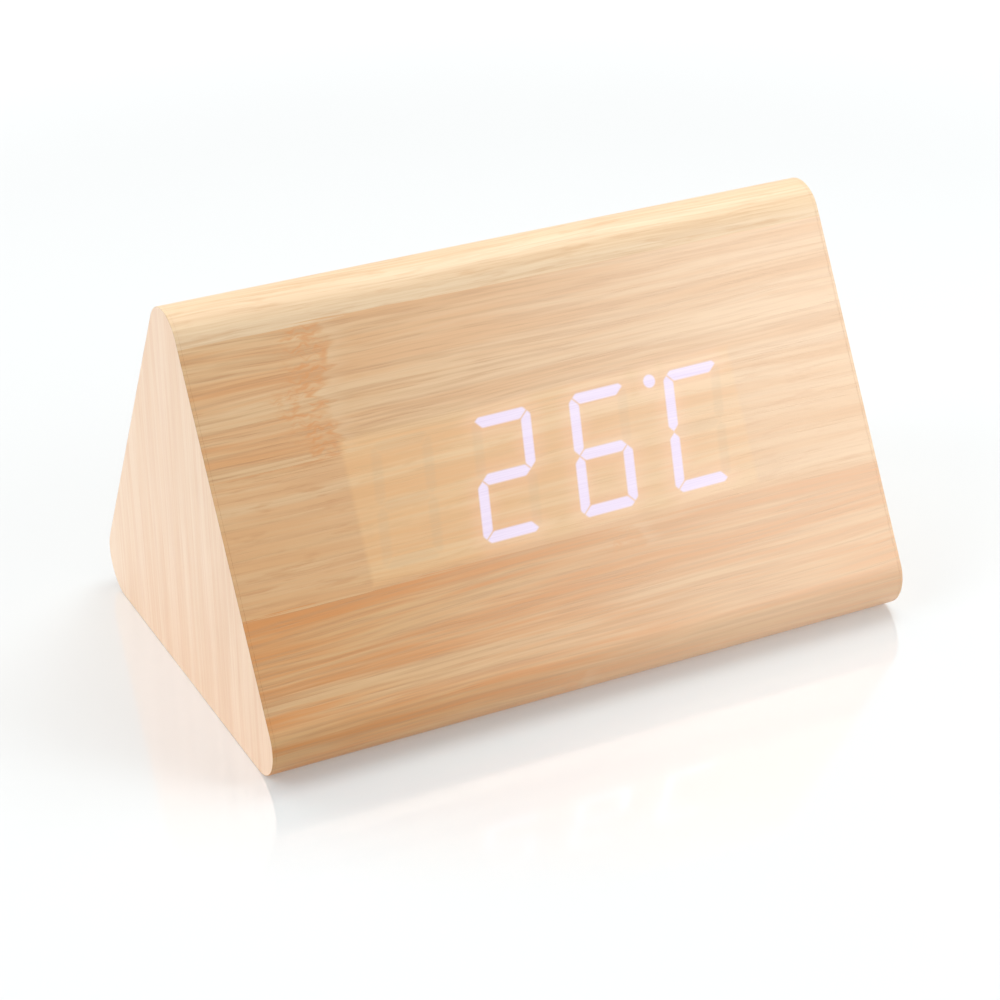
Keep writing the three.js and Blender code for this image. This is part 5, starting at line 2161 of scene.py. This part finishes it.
class DisplayStack(SubAssembly):
    """The film, reflector and boards behind the front, with what stands on them."""

    def build(self) -> None:
        """Dresses the display and its electronics."""
        self.dress(MILKY_FILM, "diffuser_film")
        self.dress(WHITE_PLASTIC, "segment_reflector", "led_board", "ribbon_header", "battery_header")
        self.dress(CIRCUIT_GREEN, "main_board")
        self.dress(BLACK_PLASTIC, "controller_chip", "alarm_buzzer")
        self.dress(TIN, "crystal_can", *(f"display_screw_{number}" for number in range(1, 5)))
        self.dress(GREY_RIBBON, "ribbon_cable")
        self.dress(RED_WIRE, "battery_lead_red")
        self.dress(BLACK_WIRE, "battery_lead_black")


@dataclass(frozen=True)
class SoftBox:
    """A square lamp that looks at the clock. Its power is in watts."""

    name: str
    place: tuple[float, float, float]
    side: float
    power: float
    colour: Colour = WHITE

    def build(self, target: Vector) -> None:
        """Hangs the lamp.

        Args:
            target: the point that it looks at.
        """
        lamp = bpy.data.lights.new(self.name, "AREA")
        lamp.shape = "SQUARE"
        lamp.size = self.side
        lamp.energy = self.power
        lamp.color = self.colour
        made = bpy.data.objects.new(self.name, lamp)
        made.location = self.place
        made.rotation_mode = "QUATERNION"
        made.rotation_quaternion = (target - made.location).to_track_quat("-Z", "Y")
        made.visible_camera = False
        bpy.context.scene.collection.objects.link(made)


@dataclass
class Studio:
    """The floor, the lamps, the surroundings and the camera.

    Attributes, where the name alone doesn't say it:
        azimuth: of the camera round the clock, in degrees from the front.
        across, upward: the origin's shift to the right and up in the view.
        lens, sensor: the focal length and the sensor's width, in millimetres.
        sky: how strongly the surroundings light the clock.
        floor_colour: the floor's colour where light falls on it.
        floor_fill: the floor's own brightness to the camera, near the clock.
        floor_clear: from where to where the floor turns plain white.
        mirror, mirror_behind: how much of each colour the floor mirrors before and behind the clock.
        mirror_turn: from where to where along Y the one turns into the other.
        mirror_fade: from where to where the mirror image fades, towards the camera.
        base_window: how far out along X and Y the floor lets all light from below through.
        base_rim, base_leak: over which width past that the light falls off, and how much is left.
    """

    azimuth: float = -26.53
    elevation: float = 28.136
    roll: float = -0.538
    distance: float = 478.356 * MM
    across: float = 0.189 * MM
    upward: float = -17.086 * MM
    lens: float = 97.31
    sensor: float = 36.0
    clip_start: float = 10 * MM
    sky: float = 0.42
    floor_half: float = 3.0
    floor_drop: float = 0.05 * MM
    floor_colour: Colour = (0.35, 0.41, 0.43)
    floor_fill: Colour = (0.51, 0.45, 0.425)
    floor_clear: Span = (0.22, 0.60)
    floor_polish: float = 0.08
    mirror: Colour = (0.34, 0.255, 0.22)
    mirror_behind: Colour = (0.25, 0.25, 0.25)
    mirror_turn: Span = (0.0, 0.06)
    mirror_fade: Span = (0.058, 0.090)
    base_window: Span = (58 * MM, 31 * MM)
    base_rim: float = 5 * MM
    base_leak: float = 0.35
    lamps: tuple[SoftBox, ...] = (
        SoftBox("right_softbox", (0.30, -0.29, 0.24), 0.17, 0.94),
        SoftBox("left_softbox", (-0.50, -0.02, 0.42), 0.40, 1.9),
        SoftBox("top_softbox", (0.236, 0.088, 0.61), 0.40, 2.15),
        SoftBox("rear_softbox", (-0.30, 0.60, 0.42), 0.50, 1.6),
        SoftBox("under_softbox", (0.05, 0.05, -0.45), 0.40, 1.3),
    )

    def build(self) -> None:
        """Sets up the studio."""
        low, high = cad_box
        for lamp in self.lamps:
            lamp.build((low + high) / 2)
        self.light_surroundings()
        self.lay_floor()
        self.set_camera()
        bpy.context.scene.view_settings.view_transform = "Standard"

    def light_surroundings(self) -> None:
        """Makes the surroundings white to look at, and dimmer as a light."""
        world = bpy.data.worlds.new("studio")
        bpy.context.scene.world = world
        world.use_nodes = True
        world.node_tree.nodes.clear()
        pen = Pen(world.node_tree)
        strength = pen.between(self.seen(pen), self.sky, 1.0)
        background = pen.fed("ShaderNodeBackground", {"Color": WHITE, "Strength": strength})
        pen.feed(pen.node("ShaderNodeOutputWorld").inputs["Surface"], background)

    def seen(self, pen: Pen) -> Socket:
        """Tells the rays that show something to the camera, straight or by way of gloss or glass.

        Args:
            pen: draws in the tree of the material or of the surroundings.

        Returns:
            1 for such a ray, 0 for any other.
        """
        path = pen.node("ShaderNodeLightPath").outputs
        kinds = ("Is Camera Ray", "Is Glossy Ray", "Is Transmission Ray")
        return pen.fold(Op.LARGER, (path[kind] for kind in kinds))

    def lay_floor(self) -> None:
        """Lays a pale, polished floor."""
        half, level = self.floor_half, -self.floor_drop
        data = bpy.data.meshes.new("floor")
        corners = [(-half, -half, level), (half, -half, level), (half, half, level), (-half, half, level)]
        data.from_pydata(corners, [], [(0, 1, 2, 3)])
        floor = bpy.data.objects.new("floor", data)
        bpy.context.scene.collection.objects.link(floor)
        material = bpy.data.materials.new("polished_floor")
        material.use_nodes = True
        material.node_tree.nodes.clear()
        data.materials.append(material)
        self.polish_floor(Pen(material.node_tree))

    def polish_floor(self, pen: Pen) -> None:
        """Draws a floor that shows nothing from below and lets the lamp under it light the base.

        Args:
            pen: draws in the floor's tree.
        """
        x, y, _ = pen.parts(pen.node("ShaderNodeTexCoord").outputs["Object"])
        turn = math.radians(self.azimuth)
        nearer = pen.plus(pen.times(x, math.sin(turn)), pen.times(y, -math.cos(turn)))
        away = pen.sum(Op.POWER, pen.plus(pen.times(x, x), pen.times(y, y)), 0.5)
        polished = pen.tint(pen.spread(y, *self.mirror_turn), self.mirror, self.mirror_behind)
        mirrored = pen.tint(pen.spread(nearer, *self.mirror_fade), polished, BLACK)
        own = pen.tint(pen.spread(away, *self.floor_clear), self.floor_fill, WHITE)
        unmirrored = pen.tint(1.0, own, mirrored, "SUBTRACT")
        matt = pen.fed("ShaderNodeBsdfDiffuse", {"Color": self.floor_colour})
        fill = pen.fed("ShaderNodeEmission", {"Color": unmirrored, "Strength": self.seen(pen)})
        polish = pen.fed("ShaderNodeBsdfGlossy", {"Color": mirrored, "Roughness": self.floor_polish})
        body = pen.fed("ShaderNodeAddShader", {0: matt, 1: fill})
        gloss = pen.fed("ShaderNodeAddShader", {0: body, 1: polish})
        clear = pen.fed("ShaderNodeBsdfTransparent", {})
        below = pen.node("ShaderNodeNewGeometry").outputs["Backfacing"]
        lamplight = pen.node("ShaderNodeLightPath").outputs["Is Shadow Ray"]
        for place, reach in zip((x, y), self.base_window):
            outside = pen.minus(pen.size(place), reach)
            share = pen.spread(outside, 0.0, self.base_rim, 1.0, self.base_leak)
            lamplight = pen.times(lamplight, share)
        through = pen.sum(Op.LARGER, below, lamplight)
        surface = pen.fed("ShaderNodeMixShader", {0: through, 1: gloss, 2: clear})
        pen.feed(pen.node("ShaderNodeOutputMaterial").inputs["Surface"], surface)

    def set_camera(self) -> None:
        """Stands the camera where the photograph was taken from."""
        azimuth, elevation, roll = map(math.radians, (self.azimuth, self.elevation, self.roll))
        back = Vector((
            math.sin(azimuth) * math.cos(elevation),
            -math.cos(azimuth) * math.cos(elevation),
            math.sin(elevation),
        ))
        level = AXIS_Z.cross(back).normalized()
        upright = back.cross(level)
        right = level * math.cos(roll) + upright * math.sin(roll)
        up = upright * math.cos(roll) - level * math.sin(roll)
        place = back * self.distance - right * self.across - up * self.upward
        lens = bpy.data.cameras.new("camera")
        lens.sensor_fit = "AUTO"
        lens.sensor_width = self.sensor
        lens.lens = self.lens
        lens.clip_start = self.clip_start
        camera = bpy.data.objects.new("camera", lens)
        camera.matrix_world = frame_at(place, right, up, back)
        bpy.context.scene.collection.objects.link(camera)
        bpy.context.scene.camera = camera


def main() -> None:
    """Builds the studio and the clock's sub-assemblies, and reports each piece."""
    logging.basicConfig(level=logging.INFO, format="%(message)s")
    Studio().build()
    for assembly in (CaseShell(), DisplayStack(), Controls(), BatteryBay()):
        assembly.build()
        for piece in assembly.pieces:
            log.info("%s: %s", type(assembly).__name__, piece)


if __name__ == "__main__":
    main()
